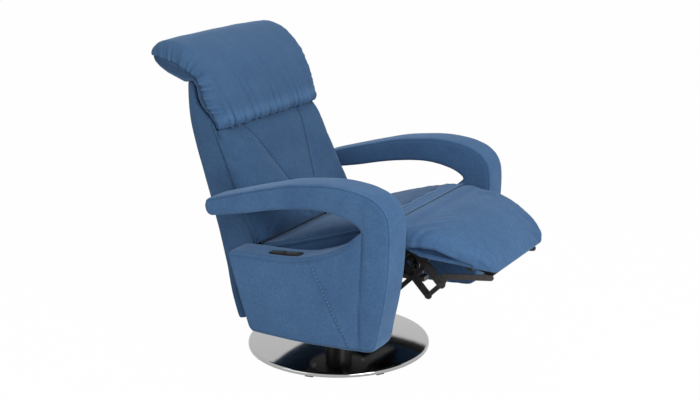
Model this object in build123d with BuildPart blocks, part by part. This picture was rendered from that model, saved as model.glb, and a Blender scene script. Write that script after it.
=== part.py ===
"""Swivel recliner in millimetres: +Z up, front toward -Y, origin on the floor under the swivel axis.

Side views are drawn as (y, z) pairs on planes across X. The sitter's right is -X.
"""

import math
import os

from build123d import *

os.makedirs("parts", exist_ok=True)

# Overall sizes
WIDTH = 750
ARM_WIDTH = 100
DISC_RADIUS = 285
SEAT_HALF = 268
BACK_HALF = 265
HEAD_HALF = 280

# Base and swivel
GLIDE_T = 4
PLATE_T = 10
FLANGE_T = 11
POST_RADIUS = 30
POST_TOP = 134
WASHER_T = 4
HUB_TOP = 160
RUN = 0.05
PLAY = 0.3

# Underframe
RAIL_H = 30
RAIL_W = 40
RAIL_Y = 60
RAIL_WALL = 2.5

# Pivots, as (y, z)
SHAFT = (55, 262)
GUIDE = (-145, 275)
KNEE = (-331, 419)
LINK_ROOT = (-285, 373)
NECK = (352, 842)
SHAFT_R = 10
GUIDE_R = 6
KNEE_R = 5
PIN_R = 4

# Sheet positions across X, inner faces
CARRIER_X = 222
SEAT_PLATE_X = 212
LEAF_X = 202
SHEET = 6
MECH_X = 134
LINK_A_X = 140
LINK_B_X = 146
BRACKET_X = 152
BAR_T = 4
BAR_W = 22
SHORT_BAR_W = 14

# Link geometry: the long bar and the short step between its parallel partners
LONG = (-97, -99)
STEP = (-46, 46)

# Seat
RAKE = 18.8
SEAT_REAR = (116, 375)
SEAT_T = 110
KNEE_ROLL = 85
ROLL_GAP = 3

# Back
BACK_FOOT = (126, 379)
BACK_LEAN = 23
PAD_T = 40
PAD_SWEEP = 149

# Head
DRUM = 60
DRUM_GAP = 3
LEAF_T = 3
NECK_LEAF_X = 174


def side_plane(x):
    """Side view plane at x: local axes run along +Y and +Z."""
    return Plane.YZ.offset(x)


def shift(point, step):
    """A side view point moved by a step."""
    return (point[0] + step[0], point[1] + step[1])


def part_way(step, share):
    """A share of a side view step."""
    return (step[0] * share, step[1] * share)


def polar(point, radius, angle):
    """A side view point at a radius and an angle counted from +Y toward +Z."""
    turn = math.radians(angle)
    return (point[0] + radius * math.cos(turn), point[1] + radius * math.sin(turn))


def bar(start, end, width):
    """Round-ended bar between two points of the open sketch."""
    middle = ((start[0] + end[0]) / 2, (start[1] + end[1]) / 2)
    turn = math.degrees(math.atan2(end[1] - start[1], end[0] - start[0]))
    with Locations(middle):
        SlotCenterToCenter(math.dist(start, end), width, rotation=turn)


def disc(point, radius, mode=Mode.ADD):
    """Round boss or hole in the open sketch."""
    with Locations(point):
        Circle(radius, mode=mode)


def rod(point, x_from, x_to, radius, mode=Mode.ADD):
    """Round rod across the chair."""
    with BuildSketch(side_plane(x_from)) as section:
        disc(point, radius)
    extrude(section.sketch, amount=x_to - x_from, mode=mode)


def block(x_span, y_span, z_span, mode=Mode.ADD):
    """Box between pairs of limits."""
    centre = [sum(span) / 2 for span in (x_span, y_span, z_span)]
    sizes = [abs(span[1] - span[0]) for span in (x_span, y_span, z_span)]
    with Locations(tuple(centre)):
        Box(*sizes, mode=mode)


def save(builder, name):
    """Label a finished piece and write it."""
    builder.part.label = name
    export_step(builder.part, "parts/" + name + ".step")


SIDES = (("right", -1), ("left", 1))

# Floor ring with its lugs
RING_IN = 230
RING_OUT = 260
LUG_COUNT = 8
LUG_W = 26
LUG_OUT = DISC_RADIUS - 5

with BuildPart() as glide_ring:
    with BuildSketch():
        Circle(RING_OUT)
        with PolarLocations((RING_OUT + LUG_OUT) / 2 - 4, LUG_COUNT, start_angle=12):
            RectangleRounded(LUG_OUT - RING_OUT + 8, LUG_W, 3)
        Circle(RING_IN, mode=Mode.SUBTRACT)
    extrude(amount=GLIDE_T)
save(glide_ring, "glide_ring")

# Ballast plate
PLATE_Z = GLIDE_T + PLATE_T
SCREW_RING = 50
SCREW_R = 5

with BuildPart() as base_plate:
    with BuildSketch(Plane.XY.offset(GLIDE_T)):
        Circle(RING_OUT)
        Circle(POST_RADIUS - 8, mode=Mode.SUBTRACT)
        with PolarLocations(SCREW_RING, 4, start_angle=45):
            Circle(SCREW_R + PLAY, mode=Mode.SUBTRACT)
    extrude(amount=PLATE_T)
save(base_plate, "base_plate")

# Spun steel cover: a shallow dome with a rolled rim
COVER_T = 2
FLANGE_R = 78
FLANGE_Z = PLATE_Z + FLANGE_T
COVER_HOLE = 62
RIM_Z = 15
RIM_ROLL = 7

with BuildPart() as base_cover:
    with BuildSketch(Plane.XZ):
        with BuildLine():
            dome_top = ThreePointArc(
                (FLANGE_R + 6, FLANGE_Z + COVER_T),
                (190, 23.5),
                (DISC_RADIUS - RIM_ROLL, RIM_Z + COVER_T),
            )
            RadiusArc(dome_top @ 1, (DISC_RADIUS, RIM_Z + COVER_T - RIM_ROLL), RIM_ROLL)
            Line((DISC_RADIUS, RIM_Z + COVER_T - RIM_ROLL), (DISC_RADIUS, GLIDE_T + 1.5))
            Line((DISC_RADIUS, GLIDE_T + 1.5), (DISC_RADIUS - COVER_T, GLIDE_T + 1.5))
            inner_rim = (DISC_RADIUS - COVER_T, RIM_Z + COVER_T - RIM_ROLL)
            Line((DISC_RADIUS - COVER_T, GLIDE_T + 1.5), inner_rim)
            dome_low = ThreePointArc(
                (FLANGE_R + 6, FLANGE_Z),
                (190, 23.5 - COVER_T),
                (DISC_RADIUS - RIM_ROLL, RIM_Z),
            )
            RadiusArc(dome_low @ 1, inner_rim, RIM_ROLL - COVER_T)
            Line((FLANGE_R + 6, FLANGE_Z), (COVER_HOLE, FLANGE_Z))
            Line((COVER_HOLE, FLANGE_Z), (COVER_HOLE, FLANGE_Z + COVER_T))
            Line((COVER_HOLE, FLANGE_Z + COVER_T), (FLANGE_R + 6, FLANGE_Z + COVER_T))
        make_face()
    revolve(axis=Axis.Z)
save(base_cover, "base_cover")

# Post, its screws and the thrust washer
with BuildPart() as column_post:
    with BuildSketch(Plane.XY.offset(PLATE_Z)):
        Circle(FLANGE_R)
        with PolarLocations(SCREW_RING, 4, start_angle=45):
            Circle(SCREW_R + PLAY, mode=Mode.SUBTRACT)
    extrude(amount=FLANGE_T)
    with BuildSketch(Plane.XY.offset(PLATE_Z)):
        Circle(POST_RADIUS)
    extrude(amount=POST_TOP - PLATE_Z)
    with BuildSketch(Plane.XY.offset(PLATE_Z)):
        Circle(POST_RADIUS - 8)
    extrude(amount=POST_TOP - PLATE_Z, mode=Mode.SUBTRACT)
save(column_post, "column_post")

with BuildPart() as column_screws:
    with PolarLocations(SCREW_RING, 4, start_angle=45):
        with Locations((0, 0, FLANGE_Z + 3.5)):
            Cylinder(SCREW_R + 3, 7)
        with Locations((0, 0, (GLIDE_T + 2 + FLANGE_Z) / 2)):
            Cylinder(SCREW_R, FLANGE_Z - GLIDE_T - 2)
save(column_screws, "column_screws")

WASHER_Z = POST_TOP + WASHER_T

with BuildPart() as thrust_washer:
    with BuildSketch(Plane.XY.offset(POST_TOP)):
        Circle(POST_RADIUS - 1)
        Circle(POST_RADIUS - 12, mode=Mode.SUBTRACT)
    extrude(amount=WASHER_T)
save(thrust_washer, "thrust_washer")

# Turning hub with a wide top flange
HUB_R = 44
HUB_LOW = FLANGE_Z + 11
HUB_FLANGE_R = 100
HUB_FLANGE_T = 10
RAIL_SCREW_R = 4
RAIL_SCREW_X = 62

with BuildPart() as swivel_hub:
    with BuildSketch(Plane.XY.offset(HUB_LOW)):
        Circle(HUB_R)
    extrude(amount=HUB_TOP - HUB_LOW)
    with BuildSketch(Plane.XY.offset(HUB_TOP - HUB_FLANGE_T)):
        Circle(HUB_FLANGE_R)
        with GridLocations(2 * RAIL_SCREW_X, 2 * RAIL_Y, 2, 2):
            Circle(RAIL_SCREW_R + PLAY, mode=Mode.SUBTRACT)
    extrude(amount=HUB_FLANGE_T)
    with BuildSketch(Plane.XY.offset(HUB_LOW)):
        Circle(POST_RADIUS + RUN)
    extrude(amount=WASHER_Z - HUB_LOW, mode=Mode.SUBTRACT)
save(swivel_hub, "swivel_hub")

# Cross rails with end flanges against the arms
INNER = WIDTH / 2 - ARM_WIDTH
RAIL_TOP = HUB_TOP + RAIL_H
END_T = 6
END_TOP = 226
ARM_SCREW_Z = 208
ARM_SCREW_STEP = 12

for rail_name, rail_y in (("front", -RAIL_Y), ("rear", RAIL_Y - 6)):
    with BuildPart() as cross_rail:
        y_low = rail_y - RAIL_W / 2
        y_high = rail_y + RAIL_W / 2
        block((-INNER, INNER), (y_low, y_high), (HUB_TOP, RAIL_TOP))
        block(
            (-INNER + END_T, INNER - END_T),
            (y_low + RAIL_WALL, y_high - RAIL_WALL),
            (HUB_TOP + RAIL_WALL, RAIL_TOP - RAIL_WALL),
            Mode.SUBTRACT,
        )
        for side_name, side in SIDES:
            end_span = (side * (INNER - END_T), side * INNER)
            block(end_span, (y_low, y_high), (HUB_TOP, END_TOP))
            for step in (-ARM_SCREW_STEP, ARM_SCREW_STEP):
                rod(
                    (rail_y + step, ARM_SCREW_Z),
                    side * (INNER - END_T),
                    side * INNER,
                    RAIL_SCREW_R + PLAY,
                    Mode.SUBTRACT,
                )
        for screw_x in (-RAIL_SCREW_X, RAIL_SCREW_X):
            screw_y = math.copysign(RAIL_Y, rail_y)
            with Locations((screw_x, screw_y, HUB_TOP)):
                Cylinder(RAIL_SCREW_R + PLAY, 4 * RAIL_WALL, mode=Mode.SUBTRACT)
    save(cross_rail, "cross_rail_" + rail_name)

# Screws: hub into rails, rails into arms
CORE_T = 20
ARM_MID = WIDTH / 2 - ARM_WIDTH / 2

with BuildPart() as frame_screws:
    for screw_x in (-RAIL_SCREW_X, RAIL_SCREW_X):
        for screw_y in (-RAIL_Y, RAIL_Y):
            with Locations((screw_x, screw_y, HUB_TOP - HUB_FLANGE_T - 2.5)):
                Cylinder(RAIL_SCREW_R + 3, 5)
            with Locations((screw_x, screw_y, HUB_TOP - 3)):
                Cylinder(RAIL_SCREW_R, 14)
    for rail_y in (-RAIL_Y, RAIL_Y - 6):
        for step in (-ARM_SCREW_STEP, ARM_SCREW_STEP):
            for side_name, side in SIDES:
                screw_at = (rail_y + step, ARM_SCREW_Z)
                head_x = side * (INNER - END_T)
                rod(screw_at, head_x, head_x - side * 5, RAIL_SCREW_R + 3)
                rod(screw_at, head_x, side * (ARM_MID + CORE_T / 2 - 3), RAIL_SCREW_R)
save(frame_screws, "frame_screws")

# Carrier plates: hold the shaft and guide the seat pin in an arc
GUIDE_ARM = math.dist(SHAFT, GUIDE)
GUIDE_ANGLE = math.degrees(math.atan2(GUIDE[1] - SHAFT[1], GUIDE[0] - SHAFT[0]))
GUIDE_SWING = 8
GUIDE_FROM = GUIDE_ANGLE - GUIDE_SWING
GUIDE_TO = GUIDE_ANGLE + GUIDE_SWING
SLOT_R = GUIDE_R + PLAY

for side_name, side in SIDES:
    with BuildPart() as carrier_plate:
        with BuildSketch(side_plane(side * CARRIER_X)):
            Polygon((-80, RAIL_TOP), (73, RAIL_TOP), (73, 240), (20, 286), (-110, 245), align=None)
            bar(SHAFT, (40, 215), 40)
            bar((-95, 235), polar(SHAFT, GUIDE_ARM, GUIDE_ANGLE), 46)
            bar(
                polar(SHAFT, GUIDE_ARM, GUIDE_FROM),
                polar(SHAFT, GUIDE_ARM, GUIDE_TO),
                40,
            )
            disc(SHAFT, SHAFT_R + RUN, Mode.SUBTRACT)
            with BuildLine():
                far = CenterArc(SHAFT, GUIDE_ARM + SLOT_R, GUIDE_FROM, 2 * GUIDE_SWING)
                near = CenterArc(SHAFT, GUIDE_ARM - SLOT_R, GUIDE_FROM, 2 * GUIDE_SWING)
                slot_low = polar(polar(SHAFT, GUIDE_ARM, GUIDE_FROM), SLOT_R, GUIDE_FROM - 90)
                ThreePointArc(far @ 0, slot_low, near @ 0)
                slot_high = polar(polar(SHAFT, GUIDE_ARM, GUIDE_TO), SLOT_R, GUIDE_TO + 90)
                ThreePointArc(far @ 1, slot_high, near @ 1)
            make_face(mode=Mode.SUBTRACT)
        extrude(amount=side * SHEET)
    save(carrier_plate, "carrier_plate_" + side_name)

with BuildPart() as pivot_shaft:
    rod(SHAFT, -CARRIER_X - SHEET - 5, CARRIER_X + SHEET + 5, SHAFT_R)
save(pivot_shaft, "pivot_shaft")

# Arms: a C open to the rear, a plywood core between two padded halves
ARM_ROUND = 9
CORE_INSET = 15
CORE_PLAY = 0.3
PANEL_MID = (-331, -22, 397)
PANEL_L = 105
PANEL_W = 28
PANEL_D = 18
PANEL_TILT = 5.4

panel_turn = math.radians(PANEL_TILT)
panel_plane = Plane(
    origin=PANEL_MID,
    x_dir=(0, -math.cos(panel_turn), math.sin(panel_turn)),
    z_dir=(0, math.sin(panel_turn), math.cos(panel_turn)),
)


# Outline of an arm from the toe of its front edge up over the nose, back along the top band,
# round the gap and down the rear edge
ARM_OUTLINE = (
    (-312, 165),
    (-328, 171),
    (-336, 186),
    (-345, 230),
    (-358, 287),
    (-372, 370),
    (-380, 476),
    (-379, 535),
    (-362, 579),
    (-335, 602),
    (-295, 617),
    (-242, 625),
    (-180, 626),
    (-50, 609),
    (102, 568),
    (190, 542),
    (217, 530),
    (226, 511),
    (218, 494),
    (200, 488),
    (104, 508),
    (28, 526),
    (-49, 541),
    (-115, 549),
    (-163, 550),
    (-211, 546),
    (-256, 537),
    (-279, 528),
    (-287, 515),
    (-281, 502),
    (-226, 457),
    (-162, 425),
    (-97, 405),
    (-47, 397),
    (31, 391),
    (112, 389),
    (140, 385),
    (152, 373),
    (152, 355),
    (137, 305),
    (112, 234),
    (88, 177),
    (81, 162),
    (68, 153),
    (40, 151),
    (-20, 151),
    (-93, 151),
    (-160, 154),
    (-220, 158),
    (-280, 163),
)


def arm_face(x, inset=0):
    """Side face of an arm, every outline point drawn in along its normal by an inset."""
    count = len(ARM_OUTLINE)
    drawn = []
    for index, point in enumerate(ARM_OUTLINE):
        before = ARM_OUTLINE[index - 1]
        after = ARM_OUTLINE[(index + 1) % count]
        run = math.dist(before, after)
        normal = ((after[1] - before[1]) / run, (before[0] - after[0]) / run)
        drawn.append(shift(point, part_way(normal, inset)))
    with BuildSketch(side_plane(x)) as section:
        with BuildLine():
            Spline(*drawn, periodic=True)
        make_face()
    return section.sketch


for side_name, side in SIDES:
    for half_name, face_x in (("outer", WIDTH / 2), ("inner", INNER)):
        with BuildPart() as arm_half:
            extrude(arm_face(side * ARM_MID), amount=side * (face_x - ARM_MID))
            rim = arm_half.faces().sort_by(Axis.X)
            face = rim[-1] if side * face_x > side * ARM_MID else rim[0]
            fillet(face.edges(), ARM_ROUND)
            pocket_depth = math.copysign(CORE_T / 2, side * (face_x - ARM_MID))
            pocket = arm_face(side * ARM_MID, CORE_INSET - CORE_PLAY)
            extrude(pocket, amount=pocket_depth, mode=Mode.SUBTRACT)
            if half_name == "inner":
                for rail_y in (-RAIL_Y, RAIL_Y - 6):
                    for step in (-ARM_SCREW_STEP, ARM_SCREW_STEP):
                        rod(
                            (rail_y + step, ARM_SCREW_Z),
                            side * INNER,
                            side * ARM_MID,
                            RAIL_SCREW_R + PLAY,
                            Mode.SUBTRACT,
                        )
            if side_name == "right":
                with BuildSketch(panel_plane.offset(20)):
                    RectangleRounded(PANEL_L, PANEL_W, 5)
                extrude(amount=-20 - PANEL_D, mode=Mode.SUBTRACT)
        save(arm_half, "arm_" + half_name + "_" + side_name)
    with BuildPart() as arm_core:
        extrude(arm_face(side * (ARM_MID - CORE_T / 2), CORE_INSET), amount=side * CORE_T)
        for rail_y in (-RAIL_Y, RAIL_Y - 6):
            for step in (-ARM_SCREW_STEP, ARM_SCREW_STEP):
                rod(
                    (rail_y + step, ARM_SCREW_Z),
                    side * (ARM_MID - CORE_T / 2),
                    side * (ARM_MID + CORE_T / 2),
                    RAIL_SCREW_R + PLAY,
                    Mode.SUBTRACT,
                )
        if side_name == "right":
            with BuildSketch(panel_plane.offset(20)):
                RectangleRounded(PANEL_L + 4, PANEL_W + 4, 6)
            extrude(amount=-24 - PANEL_D, mode=Mode.SUBTRACT)
    save(arm_core, "arm_core_" + side_name)

# Control panel: bezel with two wells, a rocker in each
WELL_L = 42
WELL_W = 19
WELL_STEP = 24
WELL_CORNER = 0.8
ROCKER_PLAY = 0.6
ROCKER_UP = 2.5
ROCKER_AXIS_DEPTH = 5
STUB_R = 1.5
STUB_PLAY = 0.15

with BuildPart() as panel_bezel:
    with BuildSketch(panel_plane.offset(1)):
        RectangleRounded(PANEL_L - 1, PANEL_W - 1, 4.5)
    extrude(amount=-PANEL_D)
    with BuildSketch(panel_plane.offset(1)):
        with Locations((-WELL_STEP, 0), (WELL_STEP, 0)):
            RectangleRounded(WELL_L, WELL_W, WELL_CORNER)
    extrude(amount=-PANEL_D + 3, mode=Mode.SUBTRACT)
    for well in (-WELL_STEP, WELL_STEP):
        stub_at = panel_plane.from_local_coords((well, 0, -ROCKER_AXIS_DEPTH))
        with BuildSketch(Plane(stub_at, (0, 1, 0), (1, 0, 0))):
            Circle(STUB_R + STUB_PLAY)
        extrude(amount=WELL_W / 2 + 2, both=True, mode=Mode.SUBTRACT)
save(panel_bezel, "panel_bezel")

for rocker_name, well in (("back", -WELL_STEP), ("foot", WELL_STEP)):
    with BuildPart() as rocker:
        half_l = WELL_L / 2 - ROCKER_PLAY - 0.6
        crest = 1 + ROCKER_UP
        left_top = (-half_l, crest)
        right_top = (half_l, crest)
        rocker_at = panel_plane.from_local_coords((well, 0, 0))
        with BuildSketch(Plane(rocker_at, panel_plane.x_dir, -panel_plane.y_dir)):
            with BuildLine():
                Polyline(right_top, (half_l, -3), (6, -9), (-6, -9), (-half_l, -3), left_top)
                ThreePointArc(left_top, (0, crest - 1.6), right_top)
            make_face()
        extrude(amount=WELL_W / 2 - ROCKER_PLAY, both=True)
        stub_at = panel_plane.from_local_coords((well, 0, -ROCKER_AXIS_DEPTH))
        with BuildSketch(Plane(stub_at, (0, 1, 0), (1, 0, 0))):
            Circle(STUB_R)
        extrude(amount=WELL_W / 2 + 1.5, both=True)
    save(rocker, "rocker_" + rocker_name)

# Supply box on the hub flange between the rails
with BuildPart() as supply_box:
    block((-34, 34), (-36, 30), (HUB_TOP, HUB_TOP + 28))
    fillet(supply_box.edges().filter_by(Axis.Z), 5)
save(supply_box, "supply_box")

# Back drive: motor and rail on the cross rails, block and lever beside the shaft
DRIVE_X = 60
DRIVE_HALF = 15
DRIVE_H = 12
LEVER = 46
CREST = RAIL_TOP + DRIVE_H

with BuildPart() as back_rail:
    block((DRIVE_X - DRIVE_HALF, DRIVE_X + DRIVE_HALF), (-112, 78), (RAIL_TOP, CREST))
save(back_rail, "back_rail")

with BuildPart() as back_motor:
    block((DRIVE_X - 22, DRIVE_X + 22), (-162, -112), (RAIL_TOP, RAIL_TOP + 52))
    fillet(back_motor.edges(), 4)
    rod((-137, RAIL_TOP + 28), DRIVE_X + 20, DRIVE_X + 98, 19)
save(back_motor, "back_motor")

FORK_IN = 8
FORK_OUT = 16
SLOT_HALF = PIN_R + 1.2

with BuildPart() as back_slider:
    block(
        (DRIVE_X - FORK_OUT, DRIVE_X + FORK_OUT),
        (SHAFT[0] - 16, SHAFT[0] + 16),
        (CREST, CREST + 27),
    )
    block(
        (DRIVE_X - FORK_IN, DRIVE_X + FORK_IN),
        (SHAFT[0] - 17, SHAFT[0] + 17),
        (CREST + 3, CREST + 28),
        Mode.SUBTRACT,
    )
    block(
        (DRIVE_X - FORK_OUT - 1, DRIVE_X + FORK_OUT + 1),
        (SHAFT[0] - SLOT_HALF, SHAFT[0] + SLOT_HALF),
        (CREST + 8, CREST + 28),
        Mode.SUBTRACT,
    )
save(back_slider, "back_slider")

# Seat frame
rake_turn = math.radians(RAKE)
RAKE_DIR = (-math.cos(rake_turn), math.sin(rake_turn))
RAKE_UP = (math.sin(rake_turn), math.cos(rake_turn))


def deck(along, up):
    """Seat point: distance forward of the rear edge, height over the cushion's underside."""
    foot = shift(SEAT_REAR, part_way(RAKE_UP, up - SEAT_T))
    return shift(foot, part_way(RAKE_DIR, along))


BAR_R = 10
STRAP_T = 2
BAR_REAR = deck(70, -BAR_R - STRAP_T)
BAR_FRONT = deck(338, -BAR_R - STRAP_T)

for side_name, side in SIDES:
    with BuildPart() as seat_plate:
        with BuildSketch(side_plane(side * SEAT_PLATE_X)):
            disc(SHAFT, 16)
            disc(GUIDE, 16)
            disc(BAR_REAR, BAR_R + 1.5)
            disc(BAR_FRONT, BAR_R + 1.5)
            make_hull()
            disc(SHAFT, SHAFT_R + RUN, Mode.SUBTRACT)
            disc(GUIDE, GUIDE_R + RUN, Mode.SUBTRACT)
            Polygon((-20, 282), (-95, 296), (-150, 318), (-110, 284), align=None, mode=Mode.SUBTRACT)
        extrude(amount=side * SHEET)
    save(seat_plate, "seat_plate_" + side_name)

with BuildPart() as seat_bars:
    for bar_at in (BAR_REAR, BAR_FRONT):
        rod(bar_at, -SEAT_PLATE_X, SEAT_PLATE_X, BAR_R)
        rod(bar_at, -SEAT_PLATE_X, SEAT_PLATE_X, BAR_R - 2.5, Mode.SUBTRACT)
save(seat_bars, "seat_bars")

STRAP_W = 50
STRAP_STEP = 88

with BuildPart() as seat_webbing:
    for strap in range(-2, 3):
        with BuildSketch(side_plane(strap * STRAP_STEP - STRAP_W / 2)):
            with BuildLine():
                Polyline(
                    deck(64, -STRAP_T), deck(344, -STRAP_T), deck(344, 0), deck(64, 0), close=True
                )
            make_face()
        extrude(amount=STRAP_W)
save(seat_webbing, "seat_webbing")

with BuildPart() as seat_pins:
    for side_name, side in SIDES:
        rod(GUIDE, side * SEAT_PLATE_X, side * (CARRIER_X + SHEET + 1), GUIDE_R)
        rod(GUIDE, side * (CARRIER_X + SHEET + 1), side * (CARRIER_X + SHEET + 4), GUIDE_R + 4)
        rod(KNEE, side * MECH_X, side * (BRACKET_X + BAR_T + 0.5), KNEE_R)
        rod(KNEE, side * (MECH_X + BAR_T), side * (BRACKET_X - 0.5), KNEE_R + 3)
        rod(KNEE, side * (BRACKET_X + BAR_T + 0.5), side * (BRACKET_X + BAR_T + 3), KNEE_R + 4)
save(seat_pins, "seat_pins")

for side_name, side in SIDES:
    with BuildPart() as mech_plate:
        with BuildSketch(side_plane(side * MECH_X)):
            bar(KNEE, LINK_ROOT, 24)
            bar(LINK_ROOT, BAR_FRONT, 22)
            disc(BAR_FRONT, BAR_R + RUN, Mode.SUBTRACT)
            disc(KNEE, KNEE_R + RUN, Mode.SUBTRACT)
            disc(LINK_ROOT, 8 + RUN, Mode.SUBTRACT)
        extrude(amount=side * BAR_T)
    save(mech_plate, "mech_plate_" + side_name)


def cushion_section(plane, half, low, high, crown, bow):
    """Cross-section of a cushion: flat underside, bowed sides, crowned top."""
    inset = half - bow
    middle = (low + high) / 2
    with BuildSketch(plane) as section:
        with BuildLine():
            Line((-inset, low), (inset, low))
            ThreePointArc((inset, low), (half, middle), (inset, high))
            ThreePointArc((inset, high), (0, high + crown), (-inset, high))
            ThreePointArc((-inset, high), (-half, middle), (-inset, low))
        make_face()
    return section.sketch


# Seat cushion: lofted along the rake, hollowed for the knee roll and the back pivot
with BuildPart() as seat_cushion:
    sections = []
    for along, half, high, crown in (
        (0, SEAT_HALF - 8, SEAT_T - 6, 2),
        (60, SEAT_HALF - 2, SEAT_T, 9),
        (190, SEAT_HALF, SEAT_T, 14),
        (320, SEAT_HALF - 1, SEAT_T, 13),
        (440, SEAT_HALF - 4, SEAT_T - 4, 11),
    ):
        section_at = deck(along, 0)
        cut_plane = Plane((0, *section_at), (1, 0, 0), (0, *RAKE_DIR))
        sections.append(cushion_section(cut_plane, half, 0, high, crown, 7))
    loft(sections)
    rod(KNEE, -WIDTH / 2, WIDTH / 2, KNEE_ROLL + ROLL_GAP, Mode.SUBTRACT)
    rod(SHAFT, -WIDTH / 2, WIDTH / 2, 48, Mode.SUBTRACT)
    with BuildSketch(side_plane(-WIDTH / 2)):
        Polygon((-331, 560), (-331, 330), (-700, 330), (-700, 560), align=None)
    extrude(amount=WIDTH, mode=Mode.SUBTRACT)
    with BuildSketch(side_plane(-WIDTH / 2)):
        Polygon(
            KNEE,
            polar(KNEE, 150, -24),
            polar(KNEE, 300, -80),
            polar(KNEE, 150, -140),
            align=None,
        )
    extrude(amount=WIDTH, mode=Mode.SUBTRACT)
save(seat_cushion, "seat_cushion")

# Foot drive under the seat
CRANK = 42
FOOT_LOW = 24
FOOT_HIGH = 77
crank_angle = -90 - (FOOT_HIGH - FOOT_LOW) / 2
CRANK_PIN = polar(LINK_ROOT, CRANK, crank_angle)
FOOT_X = -60
FOOT_CREST = 300

with BuildPart() as foot_rail:
    block((FOOT_X - DRIVE_HALF, FOOT_X + DRIVE_HALF), (-334, -190), (FOOT_CREST - 14, FOOT_CREST))
save(foot_rail, "foot_rail")

with BuildPart() as foot_motor:
    block((FOOT_X - 22, FOOT_X + 22), (-190, -140), (FOOT_CREST - 34, FOOT_CREST + 16))
    fillet(foot_motor.edges(), 4)
    rod((-165, FOOT_CREST - 10), FOOT_X + 20, FOOT_X + 98, 18)
    with BuildSketch(side_plane(FOOT_X + 8)):
        bar((-170, FOOT_CREST + 4), BAR_FRONT, 15)
        disc(BAR_FRONT, BAR_R + STRAP_T - 0.4)
        disc(BAR_FRONT, BAR_R + RUN, Mode.SUBTRACT)
    extrude(amount=5)
save(foot_motor, "foot_motor")

with BuildPart() as foot_slider:
    pin_y = CRANK_PIN[0]
    slot = PIN_R + 2.6
    block(
        (FOOT_X - FORK_OUT, FOOT_X + FORK_OUT),
        (pin_y - 14, pin_y + 14),
        (FOOT_CREST, FOOT_CREST + 52),
    )
    block(
        (FOOT_X - FORK_IN - 1, FOOT_X + FORK_IN + 1),
        (pin_y - 15, pin_y + 15),
        (FOOT_CREST + 5, FOOT_CREST + 53),
        Mode.SUBTRACT,
    )
    block(
        (FOOT_X - 17, FOOT_X + 17),
        (pin_y - slot, pin_y + slot),
        (FOOT_CREST + 24, FOOT_CREST + 53),
        Mode.SUBTRACT,
    )
save(foot_slider, "foot_slider")

# Links
ROOT_R = 8
VEE = shift(LINK_ROOT, LONG)
CROSS = shift(LINK_ROOT, part_way(LONG, 0.5))
TOE_PIN = shift(VEE, STEP)
HEEL_PIN = shift(CROSS, STEP)
TAIL = shift(CROSS, part_way(STEP, -1))

with BuildPart() as torque_tube:
    rod(LINK_ROOT, -LINK_A_X - BAR_T, LINK_A_X + BAR_T, ROOT_R)
    with BuildSketch(side_plane(FOOT_X - 4)):
        bar(LINK_ROOT, CRANK_PIN, 20)
    extrude(amount=8)
    rod(CRANK_PIN, FOOT_X - FORK_OUT, FOOT_X + FORK_OUT, PIN_R)
save(torque_tube, "torque_tube")

for side_name, side in SIDES:
    with BuildPart() as link_a:
        with BuildSketch(side_plane(side * LINK_A_X)):
            bar(LINK_ROOT, VEE, BAR_W)
            disc(LINK_ROOT, ROOT_R + RUN, Mode.SUBTRACT)
        extrude(amount=side * BAR_T)
        for pin in (CROSS, VEE):
            rod(pin, side * LINK_A_X, side * (LINK_B_X + BAR_T + 0.2), PIN_R)
            rod(pin, side * (LINK_B_X + BAR_T + 0.2), side * (BRACKET_X - 0.5), PIN_R + 3)
    save(link_a, "link_a_" + side_name)

with BuildPart() as link_b:
    for side_name, side in SIDES:
        with BuildSketch(side_plane(side * LINK_B_X)):
            bar(TAIL, HEEL_PIN, SHORT_BAR_W)
            disc(CROSS, PIN_R + RUN, Mode.SUBTRACT)
            disc(HEEL_PIN, PIN_R + RUN, Mode.SUBTRACT)
            disc(TAIL, PIN_R, Mode.SUBTRACT)
        extrude(amount=side * BAR_T)
save(link_b, "link_b")

with BuildPart() as link_c:
    for side_name, side in SIDES:
        with BuildSketch(side_plane(side * LINK_B_X)):
            bar(VEE, TOE_PIN, SHORT_BAR_W)
            disc(VEE, PIN_R + RUN, Mode.SUBTRACT)
            disc(TOE_PIN, PIN_R + RUN, Mode.SUBTRACT)
        extrude(amount=side * BAR_T)
save(link_c, "link_c")

# Footrest: brackets, board, pad with the knee roll
FOOT_SLOPE = 13.4
BOARD_T = 15
BOARD_HALF = 150
foot_turn = math.radians(FOOT_SLOPE)
FOOT_DIR = (-math.cos(foot_turn), -math.sin(foot_turn))
FOOT_UP = (-math.sin(foot_turn), math.cos(foot_turn))
BOARD_FROM = (-353, 424)


def sole(along, up):
    """Footrest point: distance from the board's heel edge, height over its underside."""
    return shift(shift(BOARD_FROM, part_way(FOOT_DIR, along)), part_way(FOOT_UP, up))


BOARD_L = 236
TAB_T = 3

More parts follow.
